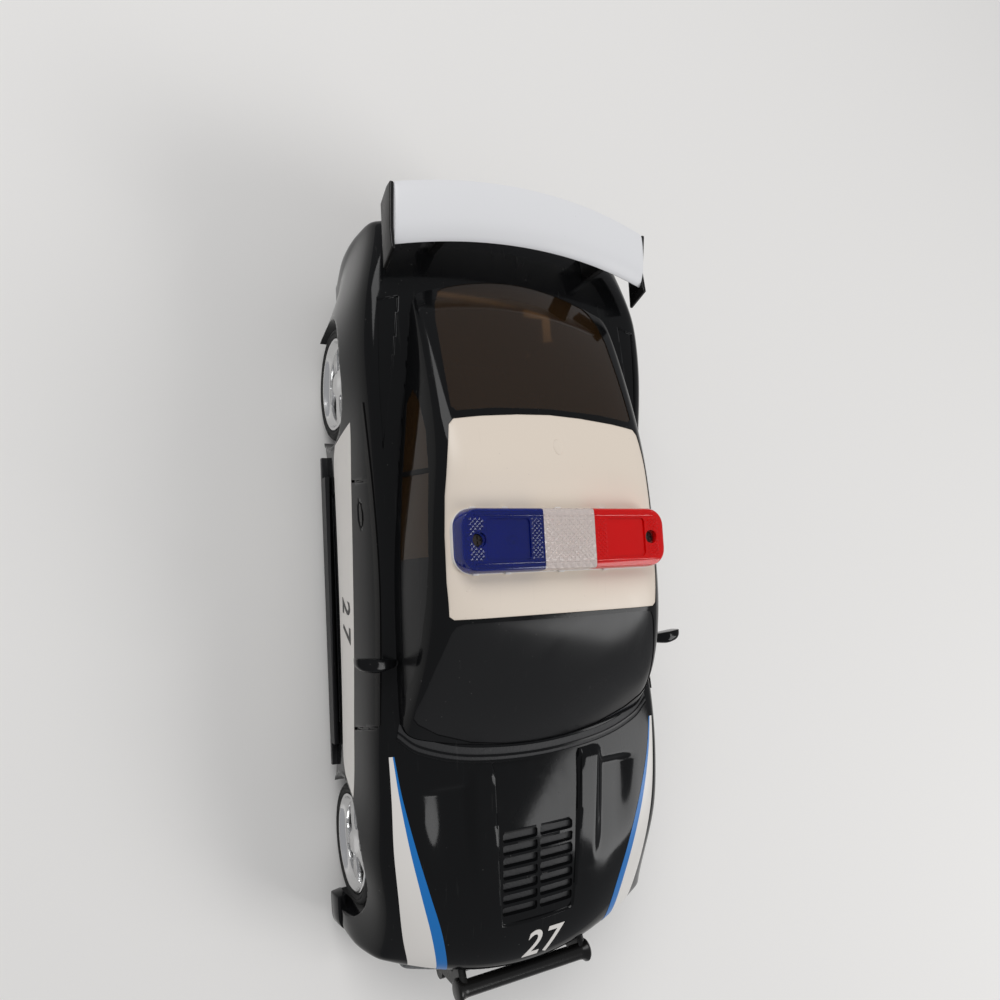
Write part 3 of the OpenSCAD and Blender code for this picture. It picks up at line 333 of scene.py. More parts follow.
LENS_CLEAR = Finish("lens_clear_plastic", (0.96, 0.85, 0.8), 0.12, transmission=0.42, prisms=0.0003, dust=0.1)
LENS_RED = Finish("lens_red_plastic", (0.92, 0.003, 0.003), 0.06, specular=0.35, transmission=0.42, dust=0.1)
LAMP_CLEAR = Finish("lamp_clear_plastic", (0.9, 0.92, 0.93), 0.06, transmission=0.9, dust=0.1)
LAMP_RED = Finish("lamp_red_plastic", (0.6, 0.01, 0.012), 0.12, transmission=0.5, dust=0.15)
TRIM_BLACK = Finish("trim_black_plastic", (0.009, 0.0087, 0.0084), 0.24, specular=0.3, bump=0.00004)
CHASSIS_BLACK = Finish("chassis_black_plastic", (0.014, 0.014, 0.015), 0.48, bump=0.00012, fine=1400.0,
                       mix=0.25)
STEEL = Finish("bright_steel", (0.62, 0.62, 0.63), 0.24, metallic=1.0, mark=(0.2, 0.19, 0.18), dust=0.4)
CELL_SLEEVE = Finish("cell_sleeve", (0.3, 0.31, 0.33), 0.3, metallic=0.6)
BOARD_GREEN = Finish("circuit_board_green", (0.02, 0.13, 0.045), 0.35, bump=0.00005)
KNOB_IVORY = Finish("ivory_plastic", (0.76, 0.73, 0.65), 0.35, bump=0.00005)
CASE_GREY = Finish("gear_case_grey", (0.05, 0.052, 0.058), 0.42, bump=0.00008)
RIM_SILVER = Finish("bright_rim", (0.72, 0.72, 0.72), 0.12, metallic=1.0, mark=(0.25, 0.22, 0.2), smudge=0.15)
TYRE_BLACK = Finish("tyre_rubber", (0.012, 0.012, 0.012), 0.6, specular=0.3, mark=(0.14, 0.13, 0.12),
                    smudge=0.15, bump=0.00015, fine=1600.0, mix=0.3)
BAND_WHITE = Finish("white_film", (0.78, 0.75, 0.71), 0.3, mark=(0.35, 0.33, 0.3), smudge=0.1)
BAND_BLUE = Finish("blue_film", (0.003, 0.16, 0.5))
# Steel of the light bar screws, darkened to near black: painted shade of the deep wells over them.
SCREW_PAINTED_SHADE = Finish("screw_painted_shade", (0.07, 0.06, 0.055), 0.3, metallic=0.8, mark=(0.3, 0.28, 0.26))

SLOT_FINISHES = {
    "body_black": BODY_BLACK, "smoke_glass": SMOKE_GLASS, "white_plastic": WHITE_PLASTIC,
    "tray_clear": TRAY_CLEAR, "lens_blue": LENS_BLUE, "lens_clear": LENS_CLEAR, "lens_red": LENS_RED,
    "lamp_clear": LAMP_CLEAR, "lamp_red": LAMP_RED, "trim_black": TRIM_BLACK, "chassis_black": CHASSIS_BLACK,
    "steel": STEEL, "cell_sleeve": CELL_SLEEVE, "board_green": BOARD_GREEN, "knob_ivory": KNOB_IVORY,
    "case_grey": CASE_GREY, "gear_ivory": KNOB_IVORY, "rim_silver": RIM_SILVER, "tyre_black": TYRE_BLACK}


# Mesh helpers


def as_object(bm: BMesh, name: str) -> Object:
    """Makes an object of a bmesh, which is freed."""
    mesh = bpy.data.meshes.new(name)
    bm.to_mesh(mesh)
    bm.free()
    made = bpy.data.objects.new(name, mesh)
    bpy.context.scene.collection.objects.link(made)
    return made


def reopen(obj: Object) -> BMesh:
    """Takes an object's mesh back into a bmesh, and removes the object."""
    bm = bmesh.new()
    bm.from_mesh(obj.data)
    discard(obj)
    return bm


def discard(*objects: Object) -> None:
    """Removes scratch objects and their meshes."""
    for obj in objects:
        mesh = obj.data
        bpy.data.objects.remove(obj)
        bpy.data.meshes.remove(mesh)


def modify(obj: Object, kind: str, **settings) -> Object:
    """Adds a modifier and applies it.

    Args:
        obj: Object that is changed.
        kind: Modifier type.
        settings: Attributes of the modifier.

    Returns:
        The same object with its new mesh.
    """
    modifier = obj.modifiers.new(kind.lower(), kind)
    for key, value in settings.items():
        setattr(modifier, key, value)
    graph = bpy.context.evaluated_depsgraph_get()
    made = bpy.data.meshes.new_from_object(obj.evaluated_get(graph))
    obj.modifiers.clear()
    old = obj.data
    obj.data = made
    bpy.data.meshes.remove(old)
    return obj


def combine(obj: Object, other: Object, operation: str, keep: bool = False,
            solver: str = "MANIFOLD") -> Object:
    """Cuts, joins or intersects two solids.

    Args:
        obj: Solid that is changed.
        other: Second solid.
        operation: DIFFERENCE, UNION or INTERSECT.
        keep: Whether the second solid stays for later use.
        solver: Boolean solver.

    Returns:
        The changed solid.
    """
    modify(obj, "BOOLEAN", operation=operation, object=other, solver=solver)
    if not keep:
        discard(other)
    return obj


def cut(obj: Object, cutter: Object) -> Object:
    """Cuts a solid, removes the cutter and returns the solid."""
    return combine(obj, cutter, "DIFFERENCE")


def copy_of(obj: Object, shift: Sequence[float] = (0, 0, 0)) -> Object:
    """Copies an object, moved by a shift."""
    made = bpy.data.objects.new(obj.name + "_copy", obj.data.copy())
    made.data.transform(Matrix.Translation(shift))
    bpy.context.scene.collection.objects.link(made)
    return made


def finish_piece(obj: Object, name: str, finish: Finish, slot: str, body: Body = Body.CAR,
                 stands_for: Sequence[str] = (), sharp: float = SHARP) -> None:
    """Scales a modelled piece to metres, dresses it and lets it ride on its body.

    Args:
        obj: Piece in millimetres.
        name: Name of the piece.
        finish: Its finish.
        slot: Material slot of the record; not used.
        body: Body that carries it.
        stands_for: Solids that it replaces.
        sharp: Angle in degrees past which an edge is sharp.
    """
    obj.name = name
    obj.data.name = name
    obj.data.transform(Matrix.Scale(MM, 4))
    obj.data.materials.clear()
    obj.data.materials.append(finish.material())
    obj.data.polygons.foreach_set("material_index", [0] * len(obj.data.polygons))
    obj.data.polygons.foreach_set("use_smooth", [True] * len(obj.data.polygons))
    obj.data.set_sharp_from_angle(angle=math.radians(sharp))
    obj.data.update()
    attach(obj, body.value)
    if stands_for:
        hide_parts(*stands_for)
    log.info("%s: %d faces", name, len(obj.data.polygons))


def stand_in(obj: Object, node: str, finish: Finish, slot: str, body: Body = Body.CAR,
             sharp: float = SHARP) -> None:
    """Finishes a piece that replaces the solid of the same name."""
    finish_piece(obj, node, finish, slot, body, [node], sharp)


def in_order(items: Iterable) -> list:
    """Drops repeats and keeps the order, which a set of mesh elements doesn't."""
    return list(dict.fromkeys(items))


def add_block(bm: BMesh, low: Sequence[float], high: Sequence[float]) -> list:
    """Adds a box between two corners, and returns its vertices."""
    size = [b - a for a, b in zip(low, high)]
    middle = [(a + b) / 2 for a, b in zip(low, high)]
    place = Matrix.Translation(middle) @ Matrix.Diagonal((*size, 1))
    return bmesh.ops.create_cube(bm, size=1, matrix=place)["verts"]


def add_rod(bm: BMesh, start: Sequence[float], end: Sequence[float], r: float,
            r_end: float | None = None, sides: int = 32) -> list:
    """Adds a closed round rod or cone between two points, and returns its vertices."""
    a, b = Vector(start), Vector(end)
    place = Matrix.Translation((a + b) / 2) @ (b - a).to_track_quat("Z", "Y").to_matrix().to_4x4()
    return bmesh.ops.create_cone(bm, cap_ends=True, segments=sides, radius1=r, depth=(b - a).length,
                                 radius2=r if r_end is None else r_end, matrix=place)["verts"]


def add_prism(bm: BMesh, outline: Sequence[Sequence[float]], shift: Sequence[float]) -> list:
    """Adds an outline of 3-D points, swept by a shift into a closed prism.

    Args:
        bm: Mesh that gets it.
        outline: Corners of the outline.
        shift: Sweep of the outline.

    Returns:
        The prism's vertices.
    """
    base = bm.faces.new([bm.verts.new(p) for p in outline])
    swept = bmesh.ops.extrude_face_region(bm, geom=[base], use_keep_orig=True)["geom"]
    top = [v for v in swept if isinstance(v, BMVert)]
    bmesh.ops.translate(bm, vec=shift, verts=top)
    verts = list(base.verts) + top
    faces = in_order(f for v in verts for f in v.link_faces)
    bmesh.ops.recalc_face_normals(bm, faces=faces)
    return verts


def shape(name: str, add: Callable[..., list], *args, **sizes) -> Object:
    """Makes an object of one shape, from the function that adds it and what that takes."""
    bm = bmesh.new()
    add(bm, *args, **sizes)
    return as_object(bm, name)


def round_edges(bm: BMesh, width: float, segments: int = 3, least: float = 30.0,
                verts: Sequence | None = None) -> None:
    """Bevels the edges that are sharper than an angle.

    Args:
        bm: Mesh that is changed.
        width: Width of the bevel.
        segments: Steps of its arc.
        least: Angle in degrees from which an edge is bevelled.
        verts: Vertices whose edges are looked at, or all.
    """
    pool = bm.edges if verts is None else in_order(e for v in verts if v.is_valid for e in v.link_edges)
    edges = [e for e in pool if e.is_manifold and e.calc_face_angle(0) > math.radians(least)]
    bmesh.ops.bevel(bm, geom=edges, offset=width, affect="EDGES", segments=segments, profile=0.5,
                    material=-1, clamp_overlap=True)


def tidy(bm: BMesh) -> None:
    """Merges doubles and turns the faces outwards."""
    bmesh.ops.remove_doubles(bm, verts=bm.verts, dist=0.0005)
    bmesh.ops.recalc_face_normals(bm, faces=bm.faces)


def join_rings(bm: BMesh, rings: Sequence[Sequence], foot: bool = True) -> None:
    """Joins rings of vertices into a tube with closed ends.

    Args:
        bm: Mesh that holds the rings.
        rings: Rings with the same number of vertices.
        foot: Whether the first ring is closed as well as the last.
    """
    for a, b in zip(rings, rings[1:]):
        for k in range(len(a)):
            n = (k + 1) % len(a)
            bm.faces.new((a[k], a[n], b[n], b[k]))
    if foot:
        bm.faces.new(rings[0])
    bm.faces.new(rings[-1])
    tidy(bm)


def mirrored(right: Points) -> list[Pair]:
    """Closes an outline whose left half mirrors its right half."""
    return [*right, *((-x, y) for x, y in right[-2:0:-1])]


def oval(x: float, middle: Pair, half: Pair, steps: int) -> list[tuple]:
    """Outline of an oval at a place x, from the (y, z) of its middle and half of its sizes."""
    turns = (math.tau * k / steps for k in range(steps))
    return [(x, middle[0] + half[0] * math.cos(a), middle[1] + half[1] * math.sin(a)) for a in turns]


def curve_through(points: Sequence[Sequence[float]], t: float) -> Vector:
    """Point on a smooth curve through a few points.

    Args:
        points: Points that the curve passes.
        t: Place along it from 0 to 1.

    Returns:
        The point.
    """
    p = [Vector(q) for q in points]
    p = [2 * p[0] - p[1]] + p + [2 * p[-1] - p[-2]]
    s = min(max(t, 0.0), 1.0) * (len(p) - 3)
    k = min(int(s), len(p) - 4)
    f = s - k
    a, b, c, d = p[k:k + 4]
    return 0.5 * (2 * b + (c - a) * f + (2 * a - 5 * b + 4 * c - d) * f * f
                  + (3 * b - a - 3 * c + d) * f ** 3)


def between(first: Points, second: Points, put: Callable[[Vector], Vector], low: float = 0.0,
            high: float = 1.0) -> Place:
    """Place function of a strip between two curves.

    Args:
        first: Points of the first curve.
        second: Points of the second curve.
        put: Puts a point of the strip in space.
        low: Share of the width at which the strip begins.
        high: Share of the width at which it ends.

    Returns:
        Function that gives the strip's point for shares across and along.
    """
    def place(u: float, v: float) -> Vector:
        """Point of the strip."""
        return put(curve_through(first, v).lerp(curve_through(second, v), low + (high - low) * u))

    return place


def ease(x: float, low: float, high: float) -> float:
    """Smooth step from 0 at low to 1 at high."""
    s = min(max((x - low) / (high - low), 0.0), 1.0)
    return s * s * (3 - 2 * s)


# Draped skins


@dataclass(frozen=True)
class EndLevel:
    """One level of an end face: half width, middle and corner place, height and crown."""

    half: float
    middle_y: float
    corner_y: float
    z: float
    crown: float


@dataclass(frozen=True)
class NetRow:
    """One cross row: half width below and above, place, sweep and heights."""

    low_half: float
    y: float
    sweep: float
    foot: float
    shoulder: float
    centre: float
    high_half: float


@dataclass(frozen=True)
class DrapedNet:
    """Control net that lies over a body like a cloth, smoothed by subdivision.

    Attributes:
        front: Levels of the front face.
        rows: Cross rows between the ends.
        rear: Levels of the rear face.
        sides: Share of half width and of height for each level.
        tops: Share of half width for each column above the shoulder.
        step: Spacing of the net round the corners.
        crown_power: Power of the crown across the top.
    """

    front: Sequence[EndLevel]
    rows: Sequence[NetRow]
    rear: Sequence[EndLevel]
    sides: Points
    tops: Sequence[float]
    step: float
    crown_power: float = 3.0

    def _end_point(self, ends: Sequence[EndLevel], i: int, j: int, way: int) -> Vector:
        """Net point of an end face, level i and column j, way 1 at the front."""
        if j <= i:
            return Vector((ends[j].half, ends[j].corner_y + way * self.step * (i - j), ends[j].z))
        e, levels = ends[i], len(ends)
        x = e.half - self.step * (j - i) if j < levels else e.half * self.tops[j - levels]
        s = x / e.half
        return Vector((x, e.middle_y + (e.corner_y - e.middle_y) * s * s,
                       e.z + e.crown * (1 - s ** self.crown_power)))

    def _row_point(self, row: NetRow, j: int) -> Vector:
        """Net point of a cross row, column j."""
        levels = len(self.sides)
        if j < levels:
            s, up = self.sides[j]
            t, z = up * up, row.foot + (row.shoulder - row.foot) * up
        else:
            s, t = self.tops[j - levels], 1.0
            across = 1 - (s / self.sides[-1][0]) ** self.crown_power
            z = row.shoulder + (row.centre - row.shoulder) * across
        return Vector(((row.low_half + (row.high_half - row.low_half) * t) * s, row.y + row.sweep * s * s, z))

    def points(self) -> list[list[Vector]]:
        """Works out the net.

        Returns:
            Rows of points from front to rear, each from the left side to the right.
        """
        levels, count = len(self.sides), len(self.rows) + 2 * len(self.sides)
        net = []
        for i in range(count):
            half = []
            for j in range(levels + len(self.tops)):
                if i < levels:
                    half.append(self._end_point(self.front, i, j, 1))
                elif i < count - levels:
                    half.append(self._row_point(self.rows[i - levels], j))
                else:
                    half.append(self._end_point(self.rear, count - 1 - i, j, -1))
            net.append(half + [Vector((-p.x, p.y, p.z)) for p in half[-2::-1]])
        return net

    def skin(self, name: str, levels: int) -> Object:
        """Smooths the net into an open skin that faces outwards.

        Args:
            name: Name of the object.
            levels: Levels of subdivision.

        Returns:
            The skin.
        """
        net = self.points()
        width = len(net[0])
        bm = bmesh.new()
        bmesh.ops.create_grid(bm, x_segments=width - 1, y_segments=len(net) - 1, size=1)
        bm.verts.ensure_lookup_table()
        for i, row in enumerate(net):
            for j, point in enumerate(row):
                bm.verts[i * width + j].co = point
        bm.normal_update()
        if sum(f.normal.z for f in bm.faces) < 0:
            bmesh.ops.reverse_faces(bm, faces=bm.faces)
        return modify(as_object(bm, name), "SUBSURF", levels=levels, render_levels=levels,
                      boundary_smooth="ALL")


def close_foot(obj: Object) -> Object:
    """Fills the open foot of a skin, which lies in one plane."""
    bm = reopen(obj)
    bmesh.ops.holes_fill(bm, edges=[e for e in bm.edges if e.is_boundary])
    bmesh.ops.recalc_face_normals(bm, faces=bm.faces)
    return as_object(bm, "closed_skin")


def tree_of(obj: Object) -> BVHTree:
    """Search tree of an object's faces."""
    bm = bmesh.new()
    bm.from_mesh(obj.data)
    made = BVHTree.FromBMesh(bm)
    bm.free()
    return made


def lay_on(bm: BMesh, tree: BVHTree, direction: Sequence[float], lift: float) -> None:
    """Drops each vertex on to a skin.

    Args:
        bm: Mesh whose vertices are moved.
        tree: Skin that they drop on to.
        direction: Direction of the drop.
        lift: Height above the skin.
    """
    way = Vector(direction).normalized()
    for vert in bm.verts:
        hit, normal, _, _ = tree.ray_cast(vert.co - way * FAR, way)
        if hit is not None:
            vert.co = hit + (normal if normal.dot(way) < 0 else -normal) * lift


def film(name: str, tree: BVHTree, direction: Sequence[float], place: Place,
         across: int, along: int, lift: float = 0.1, thickness: float = 0.1) -> Object:
    """Lays a thin film on a skin.

    Args:
        name: Name of the object.
        tree: Skin under it.
        direction: Direction in which it is dropped.
        place: Gives the film's point for shares across and along.
        across: Faces across.
        along: Faces along.
        lift: Height of its upper face above the skin.
        thickness: Thickness of the film.

    Returns:
        The film as a closed solid.
    """
    bm = bmesh.new()
    bmesh.ops.create_grid(bm, x_segments=across, y_segments=along, size=0.5)
    for vert in bm.verts:
        vert.co = place(vert.co.x + 0.5, vert.co.y + 0.5)
    lay_on(bm, tree, direction, lift)
    face_away(bm, direction)
    return modify(as_object(bm, name), "SOLIDIFY", thickness=thickness, offset=-1)


def face_away(bm: BMesh, direction: Sequence[float]) -> None:
    """Turns an open sheet so that it faces against a direction."""
    bm.normal_update()
    way = Vector(direction)
    if sum(f.normal.dot(way) * f.calc_area() for f in bm.faces) > 0:
        bmesh.ops.reverse_faces(bm, faces=bm.faces)


@dataclass
class CarBody:
    """Moulded body shell with its bonnet, doors and laid-on bands.

    Attributes:
        nose_y: Place of the nose.
        length: Length of the moulding.
        half: Half of its width.
        bonnet_z: Height of the bonnet's rear edge.
        sill_z: Height of the sills.
        wall: Wall of the moulding.
        nose_sweep: How far the nose corners sweep back.
        tail_sweep: How far the tail corners sweep forward.
        arch_room: Room between a tyre and its arch.
        tub_depth: How far a wheel tub reaches in behind its tyre.
        tub_t: Wall of a wheel tub.
        groove_w: Width of the shut lines.
        groove_d: Depth of the shut lines.
        panel_back: Rear edge of the sunk bonnet panel.
        panel_front: Front edge of the panel.
        panel_back_half: Half of its width at the rear edge.
        panel_front_half: Half of its width at the front edge.
        panel_depth: Depth of the panel.
        panel_r: Radius of its corners.
        ridge_w: Width of the ridges beside the panel.
        ridge_h: Height of the ridges at their rear end.
        ridge_fade: Length at the front of the panel that has no ridge.
        scoop_d: Depth of the scoops beside the ridges.
        scoop_starts: Where a scoop begins, and where it has its depth.
        scoop_ends: Where it begins to rise again, and where it ends.
        louvre_rows: Rows of louvres.
        louvre_back: Rear end of the rows.
        louvre_front: Front end of the rows.
        louvre_half: Half of the width over both louvres of a row.
        louvre_web: Half of the web between them.
        louvre_l: Length of a louvre along the car.
        louvre_d: Depth of a louvre.
        louvre_r: Radius of its corners.
        louvre_lean: Lean of its walls in degrees.
        door_front: Front shut line of the doors.
        door_rear: Rear shut line of the doors.
        door_foot: Height of the lower shut line.
        door_waist: Height where the upright shut lines bend.
        door_lean: How far they lean there.
        belt_z: Height of the belt line.
        handle: Place of the handle recesses along the car, and their height.
        handle_half: Half of their length and height.
        handle_d: Depth of the recesses.
        cabin_room: Room round the cabin in its opening.
        lamp_room: Room round a lamp in its pocket.
        grille_room: Room round the grille in its pocket.
        grille_lead: How far the grille's pocket runs on to the front.
        tree: Search tree of the outer skin, made by build.
    """

    nose_y: float = -128.5
    length: float = 265.0
    half: float = 58.0
    bonnet_z: float = 62.0
    sill_z: float = 9.2
    wall: float = 2.0
    nose_sweep: float = 13.5
    tail_sweep: float = 5.0
    arch_room: float = 2.4
    tub_depth: float = 4.5
    tub_t: float = 1.2
    groove_w: float = 0.9
    groove_d: float = 0.6
    panel_back: float = -51.5
    panel_front: float = -111.0
    panel_back_half: float = 17.4
    panel_front_half: float = 14.5
    panel_depth: float = 0.8
    panel_r: float = 3.0
    ridge_w: float = 8.5
    ridge_h: float = 1.6
    ridge_fade: float = 14.0
    scoop_d: float = 1.5
    scoop_starts: Pair = (-96.0, -72.0)
    scoop_ends: Pair = (-61.5, -59.5)
    louvre_rows: int = 7
    louvre_back: float = -78.5
    louvre_front: float = -108.0
    louvre_half: float = 13.8
    louvre_web: float = 0.5
    louvre_l: float = 3.0
    louvre_d: float = 1.5
    louvre_r: float = 0.8
    louvre_lean: float = 26.0
    door_front: float = -42.0
    door_rear: float = 40.5
    door_foot: float = 14.8
    door_waist: float = 33.2
    door_lean: float = 3.2
    belt_z: float = 56.0
    handle: Pair = (30.3, 47.4)
    handle_half: Pair = (4.6, 2.1)
    handle_d: float = 0.9
    cabin_room: float = 0.15
    lamp_room: float = 0.2
    grille_room: float = 0.15
    grille_lead: float = 4.0
    tree: BVHTree | None = None

    SIDES = [(0.985, 0), (1, 0.3), (0.992, 0.64), (0.965, 0.93), (0.905, 1)]
    TOPS = [0.81, 0.52, 0.26, 0]
    FACET = [(50.4, 50.0), (51.6, 72.0), (51.4, 99.0), (44.2, 101.0), (47.2, 76.0)]
    NOSE_WIDTHS = [1, 1.02, 1, 0.93, 0.85]
    TAIL_WIDTHS = [0.86, 0.89, 0.89, 0.87, 0.82]
    NOSE_BACKS = [0.008, 0.001, -0.002, -0.005, 0]
    TAIL_BACKS = [0.02, 0, 0, 0.004, 0.012]
    NOSE_HEIGHTS = (0.73, 0.1)
    TAIL_HEIGHTS = (0.94, 0.07)
    ROWS = [(0.065, 0.985, 0.965, 0.825, 0.911, 1), (0.115, 1.02, 0.995, 0.875, 0.945, 0.75),
            (0.167, 1.07, 1.01, 0.91, 0.968, 0.4), (0.235, 0.985, 1.015, 0.943, 0.99, 0.12),
            (0.31, 0.975, 1.02, 0.95, 1.006, 0), (0.408, 0.97, 0.975, 0.942, 0.97, 0),
            (0.54, 0.97, 0.945, 0.942, 0.97, 0), (0.664, 0.97, 0.985, 0.972, 0.99, 0),
            (0.731, 0.98, 1.01, 1.005, 1.02, 0), (0.799, 1.075, 1.02, 1.025, 1.035, 0),
            (0.855, 1.015, 1.01, 1.03, 1.04, 0), (0.9, 0.95, 0.99, 1.024, 1.036, -0.3)]

    def _end(self, face_y: float, widths: Sequence[float], backs: Sequence[float],
             heights: Pair, sweep: float, way: int) -> list[EndLevel]:
        """Levels of the nose or the tail, way 1 at the nose."""
        levels = []
        for k, (_, up) in enumerate(self.SIDES):
            y = face_y + way * backs[k] * self.length
            z = self.sill_z + (self.bonnet_z * heights[0] - self.sill_z) * up
            crown = self.bonnet_z * heights[1] if k == len(self.SIDES) - 1 else 0.0
            levels.append(EndLevel(self.half * widths[k], y, y + way * sweep, z, crown))
        return levels

    def net(self) -> DrapedNet:
        """Control net of the moulding."""
        rows = [NetRow(self.half * low, self.nose_y + self.length * at,
                       sweep * (self.tail_sweep if sweep < 0 else self.nose_sweep), self.sill_z,
                       self.bonnet_z * shoulder, self.bonnet_z * centre, self.half * high)
                for at, low, high, shoulder, centre, sweep in self.ROWS]
        tail_y = self.nose_y + self.length
        return DrapedNet(
            self._end(self.nose_y, self.NOSE_WIDTHS, self.NOSE_BACKS, self.NOSE_HEIGHTS, self.nose_sweep, 1),
            rows,
            self._end(tail_y, self.TAIL_WIDTHS, self.TAIL_BACKS, self.TAIL_HEIGHTS, self.tail_sweep, -1),
            self.SIDES, self.TOPS, 3.0)

    def panel_half(self, y: float) -> float:
        """Half width of the sunk bonnet panel at a place along the car."""
        share = (y - self.panel_front) / (self.panel_back - self.panel_front)
        return self.panel_front_half + (self.panel_back_half - self.panel_front_half) * share

    def relief(self, x: float, y: float) -> float:
        """Height of the bonnet's ridges and scoops.

        Args:
            x: Place across the car.
            y: Place along the car.

        Returns:
            Height added to the skin.
        """
        if y > self.panel_back + 4 or y < self.panel_front - 6:
            return 0.0
        out = abs(x) - self.panel_half(y)
        span = self.panel_back - self.panel_front - self.ridge_fade
        rise = (y - self.panel_front - self.ridge_fade) / span
        length = min(max(rise, 0.0), 1.0) * (1 - ease(y, self.panel_back - 5.2, self.panel_back - 3.8))
        edge = self.ridge_w
        ridge = ease(out, -0.7, 0.5) * (1 - ease(out, edge - 1.6, edge + 0.8))
        scoop_length = ease(y, *self.scoop_starts) * (1 - ease(y, *self.scoop_ends))
        scoop = ease(out, edge, edge + 2) * (1 - ease(out, edge + 9, edge + 19))
        return self.ridge_h * ridge * length - self.scoop_d * scoop * scoop_length

    def emboss(self, skin: Object) -> None:
        """Raises the ridges and sinks the scoops of the bonnet in a skin."""
        for vert in skin.data.vertices:
            if vert.co.z > self.bonnet_z / 2:
                vert.co.z += self.relief(vert.co.x, vert.co.y)

    def sink(self, shell: Object, solid: Object, outline: Sequence[Sequence[float]],
             depth: float, direction: Sequence[float] = DOWN) -> None:
        """Sinks an outline into the shell to an even depth.

        Args:
            shell: Shell that is cut.
            solid: Closed solid of the skin, which stays.
            outline: Outline of the recess as 3-D points clear of the skin.
            depth: Depth of the recess.
            direction: Direction of the cut.
        """
        way = Vector(direction)
        cutter = shape("recess", add_prism, outline, way * self.half)
        cut(cutter, copy_of(solid, way * depth))
        cut(shell, cutter)

    def shifted_skin(self, shift: float) -> BMesh:
        """Outer skin in coarser steps, moved along its normals.

        Args:
            shift: How far it moves outwards.

        Returns:
            The open skin.
        """
        skin = self.net().skin("shifted_skin", 3)
        self.emboss(skin)
        bm = reopen(skin)
        bm.normal_update()
        for vert in bm.verts:
            vert.co += vert.normal * shift
        return bm

    def lining(self) -> Object:
        """Closed solid of the hollow inside the shell."""
        bm = self.shifted_skin(-self.wall)
        for vert in bm.verts:
            if vert.is_boundary:
                vert.co.z = self.sill_z - self.wall
        return close_foot(as_object(bm, "lining"))

    def wheel_rods(self, name: str, wall: float, reach: float) -> Object:
        """Rods round all four wheels, from behind the tyre to outside the shell.

        Args:
            name: Name of the object.
            wall: How much larger they are than the inside of the tubs.
            reach: How far they run on past the shell.

        Returns:
            The rods.
        """
        bm = bmesh.new()
        for side in Side:
            for end in ENDS:
                y, z, r, inner, _ = wheel_place(end)
                start, stop = inner - self.tub_depth - wall, self.half + reach
                add_rod(bm, (side * start, y, z), (side * stop, y, z),
                        r + self.arch_room + wall, sides=64)
        return as_object(bm, name)

    def tubs(self, solid: Object) -> Object:
        """Wheel tubs, cut to the inside of the closed skin, which stays."""
        made = self.wheel_rods("tubs", self.tub_t, 4)
        return combine(made, copy_of(solid, (0, 0, -self.wall / 2)), "INTERSECT")

    def strip_outline(self, points: Points, x: float) -> list[list[tuple]]:
        """Outlines of straight grooves along a run of points.

        Args:
            points: (y, z) points of the run.
            x: Place across the car.

        Returns:
            Four corners for each groove.
        """
        outlines = []
        for start, end in zip(points, points[1:]):
            first, last = Vector(start), Vector(end)
            along = (last - first).normalized() * self.groove_w / 2
            side = Vector((-along.y, along.x))
            corners = (first - along + side, last + along + side, last + along - side, first - along - side)
            outlines.append([(x, *corner) for corner in corners])
        return outlines

    def cut_doors(self, shell: Object, solid: Object) -> None:
        """Cuts the shut lines and the handle recesses of both doors.

        Args:
            shell: Shell that is cut.
            solid: Closed solid of the skin with ridges.
        """
        front, rear, lean = self.door_front, self.door_rear, self.door_lean
        lines = [[(front, self.door_foot), (front, self.door_waist), (front + lean, self.belt_z)],
                 [(rear, self.door_foot), (rear + lean, self.door_waist), (rear, self.belt_z)],
                 [(front, self.door_foot), (rear, self.door_foot)]]
        for side in Side:
            way = (-side, 0, 0)
            start = side * (self.half + 4)
            for line in lines:
                for outline in self.strip_outline(line, start):
                    self.sink(shell, solid, outline, self.groove_d, way)
            self.sink(shell, solid, oval(start, self.handle, self.handle_half, 24), self.handle_d, way)

    def cut_bonnet(self, shell: Object, plain: Object, solid: Object) -> None:
        """Cuts the sunk panel and the louvres of the bonnet.

        Args:
            shell: Shell that is cut.
            plain: Closed solid of the skin without ridges.
            solid: Closed solid of the skin with ridges; not used.
        """
        top = self.bonnet_z + 12
        r = self.panel_r
        outline = []
        for quarter, (sx, sy) in enumerate(((1, 1), (-1, 1), (-1, -1), (1, -1))):
            y, half = ((self.panel_back, self.panel_back_half) if sy > 0
                       else (self.panel_front, self.panel_front_half))
            for k in range(7):
                a = math.radians(90 * quarter + 15 * k)
                outline.append((sx * (half - r) + r * math.cos(a), y - sy * r + r * math.sin(a), top))
        self.sink(shell, plain, outline, self.panel_depth)
        pitch = (self.louvre_back - self.louvre_front) / self.louvre_rows
        middle = (self.louvre_web + self.louvre_half) / 2
        half_w, half_l = (self.louvre_half - self.louvre_web) / 2, self.louvre_l / 2
        slope = Matrix.Rotation(math.radians(self.louvre_lean), 4, "X")
        bm = bmesh.new()
        for row in range(self.louvre_rows):
            y = self.louvre_front + (row + 0.5) * pitch
            for side in Side:
                hit, _, _, _ = self.tree.ray_cast(Vector((side * middle, y, FAR)), Vector(DOWN))
                verts = add_block(bm, (-half_w, -half_l, -self.louvre_d), (half_w, half_l, 6))
                upright = [e for e in in_order(e for v in verts for e in v.link_edges)
                           if abs(e.verts[0].co.z - e.verts[1].co.z) > 1]
                rounded = bmesh.ops.bevel(bm, geom=upright, offset=self.louvre_r, affect="EDGES", segments=3,
                                          profile=0.5, material=-1)
                verts = in_order(v for v in [*verts, *rounded["verts"]] if v.is_valid)
                place = Matrix.Translation((side * middle, y, hit.z - self.panel_depth - 0.2))
                bmesh.ops.transform(bm, matrix=place @ slope, verts=verts)
        cut(shell, as_object(bm, "louvres"))

